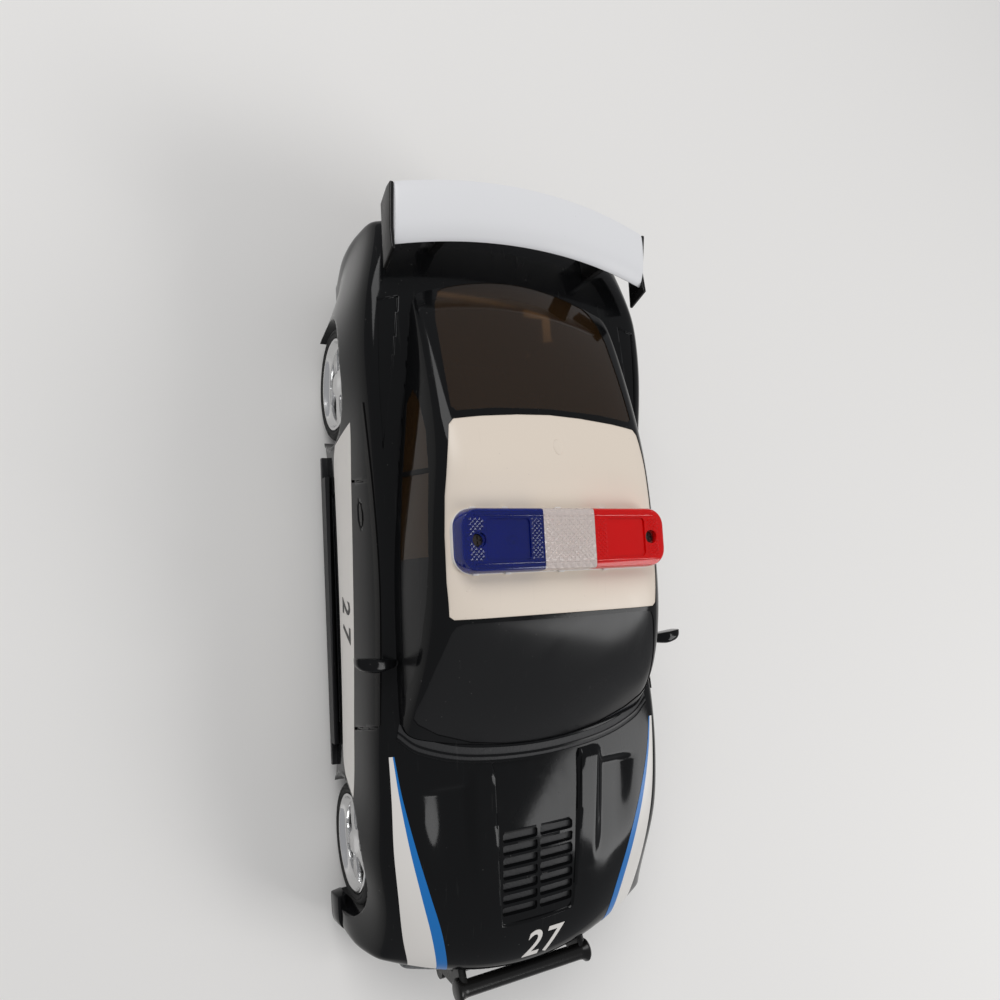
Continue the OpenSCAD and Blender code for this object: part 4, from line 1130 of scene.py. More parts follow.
    def build(self, cabin: "Cabin") -> None:
        """Models the shell and dresses it.

        Args:
            cabin: Cabin whose opening is cut in the shell.
        """
        skin = self.net().skin("body_skin", 4)
        plain = close_foot(copy_of(skin))
        self.emboss(skin)
        self.tree = tree_of(skin)
        solid = close_foot(skin)
        shell = cut(copy_of(solid), self.lining())
        combine(shell, self.tubs(solid), "UNION")
        cut(shell, self.wheel_rods("arches", 0.0, 6))
        cut(shell, cabin.closed(-self.cabin_room))
        self.cut_bonnet(shell, plain, solid)
        self.cut_doors(shell, solid)
        for side in Side:
            facet = [(side * x, y, 90.0) for x, y in self.FACET]
            self.sink(shell, solid, facet[::side], self.groove_d)
        for side in Side:
            for lamp in ("headlight", "tail_light"):
                cut(shell, lamp_pocket(f"{lamp}_{side.word}", self.lamp_room))
        cut(shell, pocket_of("front_grille", self.grille_room, self.grille_lead))
        discard(plain, solid)
        stand_in(shell, "body_shell", BODY_BLACK, "body_black", sharp=32)

    def stripes(self) -> None:
        """Lays the white and blue bands along both edges of the bonnet."""
        outer = [(52.2, -48.0), (51.8, -61.0), (51.2, -78.0), (49.2, -94.5), (47.0, -108.0), (44.2, -119.0)]
        inner = [(50.6, -48.0), (48.5, -61.0), (44.4, -77.5), (39.6, -93.5), (35.0, -108.0), (31.2, -123.6)]
        split = 0.72
        for side in Side:
            def put(p: Vector, s: int = side) -> Vector:
                """Point over the bonnet on this side."""
                return Vector((s * p.x, p.y, self.bonnet_z))

            white = film("stripe", self.tree, DOWN, between(outer, inner, put, 0, split), 14, 72)
            finish_piece(white, f"bonnet_band_white_{side.word}", BAND_WHITE, "white_plastic")
            blue = film("stripe", self.tree, DOWN, between(outer, inner, put, split, 1), 5, 72)
            finish_piece(blue, f"bonnet_band_blue_{side.word}", BAND_BLUE, "lens_blue")

    def side_film(self, name: str, side: Side, low: Points, high: Points, *faces: int,
                  **sizes: float) -> Object:
        """Lays a film on a side of the shell.

        Args:
            name: Name of the object.
            side: Side of the car.
            low: (y, z) points of its lower edge.
            high: (y, z) points of its upper edge.
            faces: Faces across and along.
            sizes: Lift and thickness of the film.

        Returns:
            The film.
        """
        def put(p: Vector) -> Vector:
            """Point beside the shell."""
            return Vector((side * self.half, p.x, p.y))

        return film(name, self.tree, (-side, 0, 0), between(low, high, put), *faces, **sizes)

    def side_bands(self) -> None:
        """Lays the white band along the lower doors."""
        low = [(-59.0, 25.0), (-52.0, 21.0), (-30.0, 20.5), (20.0, 20.5), (50.0, 21.0), (58.0, 25.0)]
        high = [(-64.5, 36.0), (-52.0, 36.4), (-30.0, 36.6), (10.0, 37.8), (40.0, 41.0), (62.0, 46.0)]
        for side in Side:
            band = self.side_film("band", side, low, high, 16, 110, lift=0.12)
            finish_piece(band, f"side_band_{side.word}", BAND_WHITE, "white_plastic")


@dataclass
class Cabin:
    """Tinted cabin with its black window frames and white roof.

    Attributes:
        front: Place of its front edge.
        length: Length at the belt.
        half: Half of its width at the belt.
        foot: Height of its foot.
        height: Height of the roof above the foot.
        glass_t: Wall of the tinted moulding.
        roof_t: Thickness of the white roof.
        frame_t: How far the black frames stand proud of the glass.
        screen_end: Place behind which the glass is no longer the windscreen.
        lid_room: Room round the roof in its seat.
    """

    front: float = -47.5
    length: float = 162.0
    half: float = 48.5
    foot: float = 54.0
    height: float = 30.0
    glass_t: float = 1.6
    roof_t: float = 1.0
    frame_t: float = 0.3
    screen_end: float = 14.0
    lid_room: float = 0.14

    SIDES = [(1, 0), (0.96, 0.56), (0.855, 1)]
    TOPS = [0.5, 0]
    SCREEN = [(1.01, -0.08, 0, 0, 0), (0.955, 0.06, 0.11, 0.56, 0.03), (0.86, 0.24, 0.262, 1.02, 0.03)]
    REAR_GLASS = [(0.86, 1.06, 0.99, 0, 0), (0.82, 1, 0.93, 0.36, 0.02), (0.815, 0.605, 0.56, 1.09, -0.02)]
    ROOF = [(0.35, 0.995, 1.03, 1.005), (0.44, 0.975, 1.04, 1.01), (0.52, 0.955, 1.055, 1.01)]
    # Outlines of the roof and the windows: right half in plan, and (y, z) on the sides
    ROOF_PLAN = [(0.0, -5.6), (30.0, -5.6), (37.6, -5.5), (39.0, -4.4), (39.6, 6.0), (39.5, 20.0),
                 (38.9, 32.0), (37.4, 45.0), (36.0, 54.6), (34.4, 56.5),
                 (25.0, 57.8), (12.0, 59.0), (0.0, 59.5)]
    ROOF_MIDDLE = (0.0, 27.0)
    SCREEN_PLAN = [(0.0, -49.6), (12.0, -49.0), (25.0, -46.8), (37.0, -42.6), (44.0, -38.4), (45.6, -36.4),
                   (45.6, -33.6), (42.0, -20.0), (38.4, -9.6), (37.0, -7.6), (34.5, -6.9), (0.0, -7.2)]
    REAR_PLAN = [(0.0, 61.6), (20.0, 60.8), (33.0, 59.2), (34.6, 60.6), (34.4, 75.0), (33.8, 92.0),
                 (32.6, 99.0), (30.4, 104.0), (26.0, 108.0), (16.0, 111.4), (0.0, 112.8)]
    DOOR_WINDOW = [(-30.0, 62.4), (-22.0, 69.0), (-12.0, 73.6), (0.0, 76.6), (13.0, 78.0), (40.0, 77.6),
                   (40.8, 62.6)]
    QUARTER_WINDOW = [(42.4, 62.8), (41.6, 77.4), (54.0, 75.4), (64.0, 71.4), (69.0, 67.4), (65.0, 64.0)]

    def _end(self, shares: Sequence[tuple], way: int, inset: float) -> list[EndLevel]:
        """Levels of the screen or the rear glass, way 1 at the front."""
        return [EndLevel(self.half * w - inset, self.front + self.length * mid + way * inset,
                         self.front + self.length * corner + way * inset,
                         self.foot + (self.height * up - inset if up > 0 else 0), self.height * crown)
                for w, mid, corner, up, crown in shares]

    def net(self, inset: float = 0.0) -> DrapedNet:
        """Control net of the cabin, drawn in by an inset."""
        rows = [NetRow(self.half * w - inset, self.front + self.length * at, 0.0, self.foot,
                       self.foot + self.height * rail - inset, self.foot + self.height * centre - inset,
                       self.half * w - inset) for at, w, rail, centre in self.ROOF]
        return DrapedNet(self._end(self.SCREEN, 1, inset), rows, self._end(self.REAR_GLASS, -1, inset),
                         self.SIDES, self.TOPS, 5.0)

    def closed(self, inset: float) -> Object:
        """Closed solid of the cabin."""
        return close_foot(self.net(inset).skin("cabin_solid", 3))

    def roof_plan(self, room: float) -> Object:
        """Upright prism over the roof's outline, grown by a clearance."""
        corners = []
        for corner in mirrored(self.ROOF_PLAN):
            out = (Vector(corner) - Vector(self.ROOF_MIDDLE)).normalized() * room
            corners.append((corner[0] + out.x, corner[1] + out.y, self.foot + 10))
        return shape("roof_plan", add_prism, corners, (0, 0, self.height + 10))

    def lid(self) -> Object:
        """White roof panel as a layer of the skin."""
        made = modify(self.net().skin("lid", 4), "SOLIDIFY", thickness=self.roof_t - 0.08, offset=-1)
        combine(made, self.roof_plan(0.0), "INTERSECT")
        bm = reopen(made)
        round_edges(bm, 0.12, 2, least=60)
        return as_object(bm, "lid")

    def lid_cutter(self) -> Object:
        """Cutter that sinks the roof's seat."""
        sheet = self.net(-1.0).skin("seat", 4)
        made = modify(sheet, "SOLIDIFY", thickness=1 + self.roof_t, offset=-1)
        return combine(made, self.roof_plan(self.lid_room), "INTERSECT")

    def windows(self) -> Object:
        """Cutters for the window openings of the black frames."""
        bm = bmesh.new()
        for right in (self.SCREEN_PLAN, self.REAR_PLAN):
            add_prism(bm, [(x, y, 40.0) for x, y in mirrored(right)], (0, 0, 60))
        for side in Side:
            for outline in (self.DOOR_WINDOW, self.QUARTER_WINDOW):
                add_prism(bm, [(side * 25.0, y, z) for y, z in outline], (side * 40.0, 0, 0))
        return as_object(bm, "window_cutters")

    def build(self) -> None:
        """Models the glass, the frames and the roof, and dresses them."""
        glass = modify(self.net().skin("glass", 4), "SOLIDIFY", thickness=self.glass_t, offset=-1)
        cut(glass, self.lid_cutter())
        # The windscreen is cut from the smoked glass and given an opaque near-black finish: painted shade of
        # the dark cabin behind it and a painted dark reflection.
        cutter = shape("screen_span", add_block, (-90, -90, 0), (90, self.screen_end, 120))
        screen = combine(copy_of(glass), cutter, "INTERSECT", keep=True)
        cut(glass, cutter)
        stand_in(glass, "window_canopy", SMOKE_GLASS, "smoke_glass")
        finish_piece(screen, "windscreen", SCREEN_PAINTED_SHADE, "smoke_glass")
        frames = modify(self.net(0.02).skin("frames", 4), "SOLIDIFY", thickness=self.frame_t, offset=1)
        cut(frames, self.windows())
        cut(frames, self.lid_cutter())
        finish_piece(frames, "window_frames", BODY_BLACK, "body_black", sharp=32)
        stand_in(self.lid(), "roof_panel", WHITE_PLASTIC, "white_plastic")


def wheel_place(end: str) -> tuple[float, float, float, float, float]:
    """Place of a pair of wheels, from the tyre's solid.

    Args:
        end: front or rear.

    Returns:
        Place along the car, height, tyre radius, and the X of the inner and outer face.
    """
    low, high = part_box(f"tyre_{end}_left")
    middle = (low + high) / 2 / MM
    return middle.y, middle.z, (high.z - low.z) / 2 / MM, low.x / MM, high.x / MM


def box_of(node: str) -> tuple[Vector, Vector]:
    """Corners of a solid in millimetres."""
    low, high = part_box(node)
    return low / MM, high / MM


def mesh_of(node: str, flatten: bool = True) -> BMesh:
    """Copies a solid's mesh in millimetres.

    Args:
        node: Name of the solid.
        flatten: Whether the triangles of a flat face are joined.

    Returns:
        The copy, with its doubles merged.
    """
    bm = bmesh.new()
    bm.from_mesh(frame["nodes"][node].data)
    bmesh.ops.scale(bm, vec=(1 / MM,) * 3, verts=bm.verts)
    bmesh.ops.remove_doubles(bm, verts=bm.verts, dist=0.002)
    if flatten:
        bmesh.ops.dissolve_limit(bm, angle_limit=math.radians(1.5), verts=bm.verts, edges=bm.edges)
    return bm


def lamp_pocket(node: str, room: float, reach: float = 3.0) -> Object:
    """Cutter that follows a lamp's outline and runs out through the shell in front of it.

    Args:
        node: Name of the lamp.
        room: Room around the lamp.
        reach: How far the cutter runs out.

    Returns:
        The cutter in millimetres.
    """
    bm = mesh_of(node)
    bm.normal_update()
    outer = [f for f in bm.faces if f.normal.y * f.calc_center_median().y > 0]
    face = max(outer, key=lambda f: f.calc_area())
    way = face.normal.copy()
    bmesh.ops.translate(bm, vec=way * reach, verts=face.verts)
    for vert in bm.verts:
        vert.co += vert.normal * room
    return as_object(bm, "lamp_pocket")


def pocket_of(node: str, room: float, lead: float) -> Object:
    """Cutter a little larger than a solid, which runs on to the front by its lead."""
    low, high = box_of(node)
    grown = Vector((room, room, room))
    return shape("pocket", add_block, low - grown - Vector((0, lead, 0)), high + grown)


def turned(name: str, profile: Points, centre: Sequence[float], closed: bool = False,
           steps: int = 72) -> Object:
    """Turns a profile round an axle that lies along X.

    Args:
        name: Name of the object.
        profile: (place along X, radius) of each corner.
        centre: Point of the axle that the profile is measured from.
        closed: Whether the profile closes on itself, or ends on the axle.
        steps: Steps of a full turn.

    Returns:
        The turned solid.
    """
    bm = bmesh.new()
    verts = [bm.verts.new((x, 0.0, r)) for x, r in profile]
    pairs = list(zip(verts, verts[1:])) + ([(verts[-1], verts[0])] if closed else [])
    edges = [bm.edges.new(pair) for pair in pairs]
    bmesh.ops.spin(bm, geom=[*verts, *edges], cent=(0, 0, 0), axis=(1, 0, 0), angle=math.tau, steps=steps,
                   use_merge=True)
    bmesh.ops.translate(bm, vec=centre, verts=bm.verts)
    tidy(bm)
    return as_object(bm, name)


def rounded_outline(half_x: float, half_y: float, r: float, steps: int = 8) -> list[Pair]:
    """Corners of a rectangle with rounded corners, anticlockwise."""
    points = []
    for quarter, (sx, sy) in enumerate(((1, 1), (-1, 1), (-1, -1), (1, -1))):
        for k in range(steps + 1):
            a = math.radians(90 * (quarter + k / steps))
            points.append((sx * (half_x - r) + r * math.cos(a), sy * (half_y - r) + r * math.sin(a)))
    return points


def softened(node: str, width: float, segments: int = 2) -> Object:
    """Copies a solid with its edges rounded.

    Args:
        node: Name of the solid.
        width: Width of the rounding in millimetres.
        segments: Steps of the rounding.

    Returns:
        The rounded copy in millimetres.
    """
    bm = mesh_of(node)
    round_edges(bm, width, segments)
    tidy(bm)
    return as_object(bm, node + "_soft")


def island_boxes(obj: Object) -> list[tuple[Vector, Vector]]:
    """Finds the separate solids in an object.

    Args:
        obj: Object that holds them.

    Returns:
        Low and high corner of each, in order.
    """
    bm = bmesh.new()
    bm.from_mesh(obj.data)
    boxes, left = [], set(bm.verts)
    while left:
        found, stack = set(), [left.pop()]
        while stack:
            vert = stack.pop()
            found.add(vert)
            near = {e.other_vert(vert) for e in vert.link_edges} & left
            left -= near
            stack.extend(near)
        spans = [(min(axis), max(axis)) for axis in zip(*(v.co for v in found))]
        boxes.append((Vector(s[0] for s in spans), Vector(s[1] for s in spans)))
    bm.free()
    return sorted(boxes, key=lambda box: tuple(box[0]))


@dataclass
class LightBar:
    """Roof light bar: three lens colours with moulded prisms, wells, clips and screws.

    Attributes:
        y: Place of its middle.
        seat: Height of the lenses' foot.
        half_l: Half of its length.
        half_w: Half of its width.
        height: Height of the lenses.
        end_r: Radius of its corners in plan.
        wall: Wall of the lenses.
        clear_half: Half of the clear lens.
        pitch: Pitch of the prisms.
        prism_h: Height of a prism.
        screw_x: Place of the screws.
        screw_room: Radius of the well over a screw.
        well_d: Depth of the sunk fields.
        well_r: Radius of their corners.
        bead_r: Radius of the beads along the long edges.
        seam: Gap between two lenses.
    """

    y: float = 18.0
    seat: float = 85.3
    half_l: float = 38.2
    half_w: float = 10.0
    height: float = 5.6
    end_r: float = 6.0
    wall: float = 1.2
    clear_half: float = 9.5
    pitch: float = 1.5
    prism_h: float = 0.24
    screw_x: float = 32.0
    screw_room: float = 2.3
    well_d: float = 0.75
    well_r: float = 1.4
    bead_r: float = 0.3
    seam: float = 0.08

    LAYERS = [(0.0, 0.0), (0.35, 0.76), (0.75, 0.9), (1.5, 0.955), (2.6, 0.965)]
    WELLS = {"blue": (-29.5, -14.5), "red": (14.5, 29.5)}
    CLIPS = (-31.4, -20.4, -1.0, 16.2)

    def hull(self) -> Object:
        """Thin-walled cover of all three lenses, open below."""
        bm = bmesh.new()
        rings = []
        for inset, up in self.LAYERS:
            outline = rounded_outline(self.half_l - inset, self.half_w - inset, self.end_r - inset * 0.8)
            rings.append([bm.verts.new((x, y + self.y, self.seat + self.height * up)) for x, y in outline])
        join_rings(bm, rings, foot=False)
        return modify(as_object(bm, "bar_hull"), "SOLIDIFY", thickness=self.wall, offset=-1)

    def lens(self, colour: str, low: float, high: float, finish: Finish) -> None:
        """Cuts one lens from the cover, sinks its well and dresses it.

        Args:
            colour: Colour word of the lens.
            low: Its lower X.
            high: Its upper X.
            finish: Its finish.
        """
        span = shape("span", add_block, (low, self.y - 30, 60), (high, self.y + 30, 120))
        cover = combine(self.hull(), span, "INTERSECT")
        if colour in self.WELLS:
            a, b = self.WELLS[colour]
            outline = rounded_outline((b - a) / 2, self.half_w - 3.6, self.well_r)
            top = self.seat + self.height
            corners = [(x + (a + b) / 2, y + self.y, top - self.well_d) for x, y in outline]
            cut(cover, shape("well", add_prism, corners, (0, 0, 4)))
            x = math.copysign(self.screw_x, a)
            foot, head = (x, self.y, box_of("lightbar_screws")[1].z - 0.9), (x, self.y, top + 2)
            cut(cover, shape("screw_well", add_rod, foot, head, self.screw_room, sides=48))
        stand_in(cover, f"lens_{colour}", finish, f"lens_{colour}", sharp=30)
        self.prisms(colour, low, high, finish)

    def textured(self, x: float, y: float) -> bool:
        """Whether a place on the cover carries prisms."""
        if abs(y) > self.half_w - 3.3:
            return False
        if abs(x) > self.half_l - 3.6 and abs(y) > self.half_w - 5.2:
            return False
        if math.hypot(abs(x) - self.screw_x, y) < 2.7:
            return False
        for low, high in self.WELLS.values():
            if low - 0.9 < x < high + 0.9:
                return False
        return abs(x) < self.half_l - 3.1

    def prisms(self, colour: str, low: float, high: float, finish: Finish) -> None:
        """Sets the raised diamonds and the edge beads on one lens.

        Args:
            colour: Colour word of the lens.
            low: Its lower X.
            high: Its upper X.
            finish: Its finish.
        """
        bm = bmesh.new()
        top = self.seat + self.height * self.LAYERS[-1][1]
        half = self.pitch / 2
        count = int(self.half_l / half) + 1
        rows = int(self.half_w / half) + 1
        for i in range(-count, count + 1):
            for j in range(-rows, rows + 1):
                x, y = i * half, j * half
                if (i + j) % 2 or not self.textured(x, y) or not low + half < x < high - half:
                    continue
                bmesh.ops.create_cone(bm, cap_ends=True, segments=4, radius1=half * 0.96, radius2=half * 0.16,
                                      depth=self.prism_h, matrix=Matrix.Translation(
                                          (x, y + self.y, top + self.prism_h / 2 - 0.02)))
        a, b = max(low, -self.half_l + 4.5) + 0.25, min(high, self.half_l - 4.5) - 0.25
        for across in (self.half_w - 1.55, self.half_w - 2.75):
            for way in (1, -1):
                up = top - 0.08 if across < self.half_w - 2 else top - 0.36
                y = self.y + way * across
                add_rod(bm, (a, y, up), (b, y, up), self.bead_r, sides=10)
        tidy(bm)
        finish_piece(as_object(bm, "prisms"), f"lens_{colour}_prisms", finish, f"lens_{colour}", sharp=20)

    def screws(self) -> None:
        """Models the cross-head screws in their bosses, their steel darkened as painted shade of the wells
        over them.
        """
        bm = bmesh.new()
        low, high = box_of("lightbar_screws")
        head_z = high.z
        for x in (-self.screw_x, self.screw_x):
            add_rod(bm, (x, self.y, low.z), (x, self.y, head_z - 0.7), 1.25, sides=24)
            verts = add_rod(bm, (x, self.y, head_z - 0.8), (x, self.y, head_z), 2.1, 1.9, sides=40)
            round_edges(bm, 0.22, 2, verts=verts)
        heads = as_object(bm, "screws")
        bm = bmesh.new()
        for x in (-self.screw_x, self.screw_x):
            for dx, dy in ((1.3, 0.24), (0.24, 1.3)):
                add_block(bm, (x - dx, self.y - dy, head_z - 0.45), (x + dx, self.y + dy, head_z + 1))
        slots = modify(as_object(bm, "slots"), "REMESH", mode="VOXEL", voxel_size=0.06)
        combine(heads, slots, "DIFFERENCE", solver="EXACT")
        stand_in(heads, "lightbar_screws", SCREW_PAINTED_SHADE, "steel", sharp=30)

    def clips(self) -> None:
        """Models the small clips along both long edges and the seam bead of the tray."""
        bm = bmesh.new()
        for x in self.CLIPS:
            for way in (1, -1):
                y = self.y + way * self.half_w
                verts = add_block(bm, (x - 1.1, y - 0.5, self.seat - 0.5),
                                  (x + 1.1, y + 0.55, self.seat + 0.75))
                round_edges(bm, 0.3, 2, verts=verts)
        outline = rounded_outline(self.half_l + 0.18, self.half_w + 0.18, self.end_r)
        verts = add_prism(bm, [(x, y + self.y, self.seat - 0.6) for x, y in outline], (0, 0, 0.5))
        round_edges(bm, 0.18, 2, verts=verts)
        finish_piece(as_object(bm, "clips"), "lightbar_clips", TRAY_CLEAR, "tray_clear")

    def build(self) -> None:
        """Models the whole bar."""
        self.lens("blue", -self.half_l - 1, -self.clear_half - self.seam, LENS_BLUE)
        self.lens("clear", -self.clear_half, self.clear_half, LENS_CLEAR)
        self.lens("red", self.clear_half + self.seam, self.half_l + 1, LENS_RED)
        self.screws()
        self.clips()


@dataclass
class RearWing:
    """Bowed rear wing with end plates and struts.

    Attributes:
        span: Span of the blade.
        chord: Its front-to-back depth.
        thick: Its thickness.
        tilt: Rise of its rear edge.
        bow: How far its middle bows back.
        rise: Rise of its middle.
        mid_y: Place of the front edge at the middle.
        mid_z: Height there.
    """

    span: float = 97.0
    chord: float = 19.0
    thick: float = 2.5
    tilt: float = 2.2
    bow: float = 5.0
    rise: float = 4.0
    mid_y: float = 118.5
    mid_z: float = 77.0

    PROFILE = [(0, 0), (0.06, 0.5), (0.25, 1), (0.55, 1.05), (0.85, 0.8), (1, 0.45), (1, 0.1), (0.6, -0.1),
               (0.2, -0.15)]
    ROUNDING = {"wing_endplate": 0.45, "wing_strut": 0.4}

    def outline(self) -> list[Triple]:
        """Rounded outline of the blade at its right end, before it is bowed."""
        points = []
        count = len(self.PROFILE)
        for k in range(count):
            run = [(*self.PROFILE[(k + n) % count], 0) for n in (-1, 0, 1, 2)]
            for step in range(3):
                s = curve_through(run, (1 + step / 3) / 3)
                points.append((-self.span / 2, self.mid_y + min(s.x, 1.0) * self.chord,
                               self.mid_z + s.y * self.thick + s.x * self.tilt))
        return points

    def blade(self) -> None:
        """Models the blade."""
        sag = math.hypot(self.bow, self.rise)
        r = (self.span ** 2 / 4 + sag * sag) / (2 * sag)
        bm = bmesh.new()
        add_prism(bm, self.outline(), (self.span, 0, 0))
        long = [e for e in bm.edges if abs(e.verts[0].co.x - e.verts[1].co.x) > 1]
        bmesh.ops.subdivide_edges(bm, edges=long, cuts=63, use_grid_fill=True)
        ends = [e for e in bm.edges if all(abs(abs(v.co.x) - self.span / 2) < 0.01 for v in e.verts)]
        bmesh.ops.bevel(bm, geom=ends, offset=0.25, affect="EDGES", segments=2, profile=0.5, material=-1)
        for vert in bm.verts:
            drop = r - math.sqrt(r * r - vert.co.x ** 2)
            vert.co.y -= drop * self.bow / sag
            vert.co.z -= drop * self.rise / sag
        tidy(bm)
        stand_in(as_object(bm, "blade"), "wing_blade", WING_WHITE, "white_plastic")

    def build(self) -> None:
        """Models the blade, the end plates and the struts."""
        self.blade()
        for side in Side:
            for piece, width in self.ROUNDING.items():
                node = f"{piece}_{side.word}"
                stand_in(softened(node, width, 3), node, TRIM_BLACK, "trim_black")


@dataclass
class PushBar:
    """Tubular push bar on two plates.

    Attributes:
        half: Half of its width over the plates.
        tube_r: Radius of the tubes.
        y: Place of the tubes.
        high_z: Height of the upper tube.
        low_z: Height of the lower tube.
        plate_t: Thickness of the plates.
        root_y: Place where the plates end inside the nose.
        gap_y: Place where the gap between a plate's arms begins.
        flange_t: Thickness of the flared tube ends.
        flange: How far the flared ends stand out.
    """

    half: float = 25.5
    tube_r: float = 2.8
    y: float = -134.7
    high_z: float = 43.0
    low_z: float = 24.5
    plate_t: float = 2.8
    root_y: float = -119.5
    gap_y: float = -129.5
    flange_t: float = 1.4
    flange: float = 1.2

    def plate(self, side: Side) -> Object:
        """Side plate with rounded edges."""
        r, low, high = self.tube_r, self.low_z, self.high_z
        outline = [(self.y, low - r), (self.root_y, low - r), (self.root_y, low + r), (self.gap_y, low + r),
                   (self.gap_y, high - 2 * r), (self.root_y, high - 2 * r), (self.root_y, high - r),
                   (self.y, high + r)]
        bm = bmesh.new()
        x = side * (self.half - self.plate_t)
        add_prism(bm, [(x, y, z) for y, z in outline], (side * self.plate_t, 0, 0))
        round_edges(bm, 0.5, 3)
        return as_object(bm, "plate")

    def build(self) -> None:
        """Models the plates and the tubes, and joins them."""
        r, end = self.tube_r, self.half + self.flange_t
        tube = [(-self.half, 0), (-self.half, r), (self.half, r), (self.half, 0)]
        wide = r + self.flange
        flared = [(-end, 0), (-end, wide - 1.1), (-end + 0.3, wide - 0.35), (-end + 0.8, wide),
                  (-end + 1.5, wide - 0.1), (-end + 2.5, r + 0.25), (-end + 4, r)]
        flared += [(-x, radius) for x, radius in reversed(flared)]
        made = turned("tube", flared, (0, self.y + self.flange, self.high_z), steps=48)
        combine(made, turned("tube", tube, (0, self.y, self.low_z), steps=48), "UNION")
        for side in Side:
            combine(made, self.plate(side), "UNION")
        bm = reopen(made)
        round_edges(bm, 0.12, 2, least=50)
        stand_in(as_object(bm, "push_bar"), "push_bar", TRIM_BLACK, "trim_black", sharp=42)


@dataclass
class DoorMirrors:
    """Wedge-shaped door mirrors.

    Attributes:
        root: X where a mirror meets the shell.
        reach: X of its tip.
        y: Place along the car.
        z: Height of its foot.
        peg_l: Length of the peg below it.
        peg_r: Radius of the peg.
    """

    root: float = 50.2
    reach: float = 63.0
    y: float = -18.5
    z: float = 61.4
    peg_l: float = 8.0
    peg_r: float = 1.2

    # Share of the reach, front, back, low and high of each section
    SECTIONS = [(-0.06, -0.9, 1.2, -0.9, 1.6), (0.2, -1.9, 1.7, -0.7, 3.9), (0.55, -2.5, 2.2, -0.7, 5.2),
                (0.88, -1.5, 2.6, -0.9, 4.8), (1.02, 0.4, 2.7, -0.6, 4.0)]

    def blade(self, side: Side) -> Object:
        """Smooth wedge of one side, through its sections.

        Args:
            side: Side of the car.

        Returns:
            The wedge.
        """
        bm = bmesh.new()
        rings = []
        for share, front, back, low, high in self.SECTIONS:
            x = side * (self.root + share * (self.reach - self.root))
            corners = ((front, low), (back, low), (back, high), (front, high))
            rings.append([bm.verts.new((x, self.y + y, self.z + z)) for y, z in corners])
        join_rings(bm, rings)
        crease = bm.edges.layers.float.new("crease_edge")
        for edge in bm.edges:
            back = all(v.co.y > self.y + 1 for v in edge.verts)
            edge[crease] = 0.55 if back else 0.25
        return modify(as_object(bm, "blade"), "SUBSURF", levels=3, render_levels=3)

    def build(self) -> None:
        """Models both mirrors."""
        for side in Side:
            x = side * self.root
            foot, head = (x, self.y, self.z - self.peg_l), (x, self.y, self.z + 0.8)
            made = combine(self.blade(side), shape("peg", add_rod, foot, head, self.peg_r), "UNION")
            stand_in(made, f"mirror_{side.word}", BODY_BLACK, "trim_black", sharp=50)


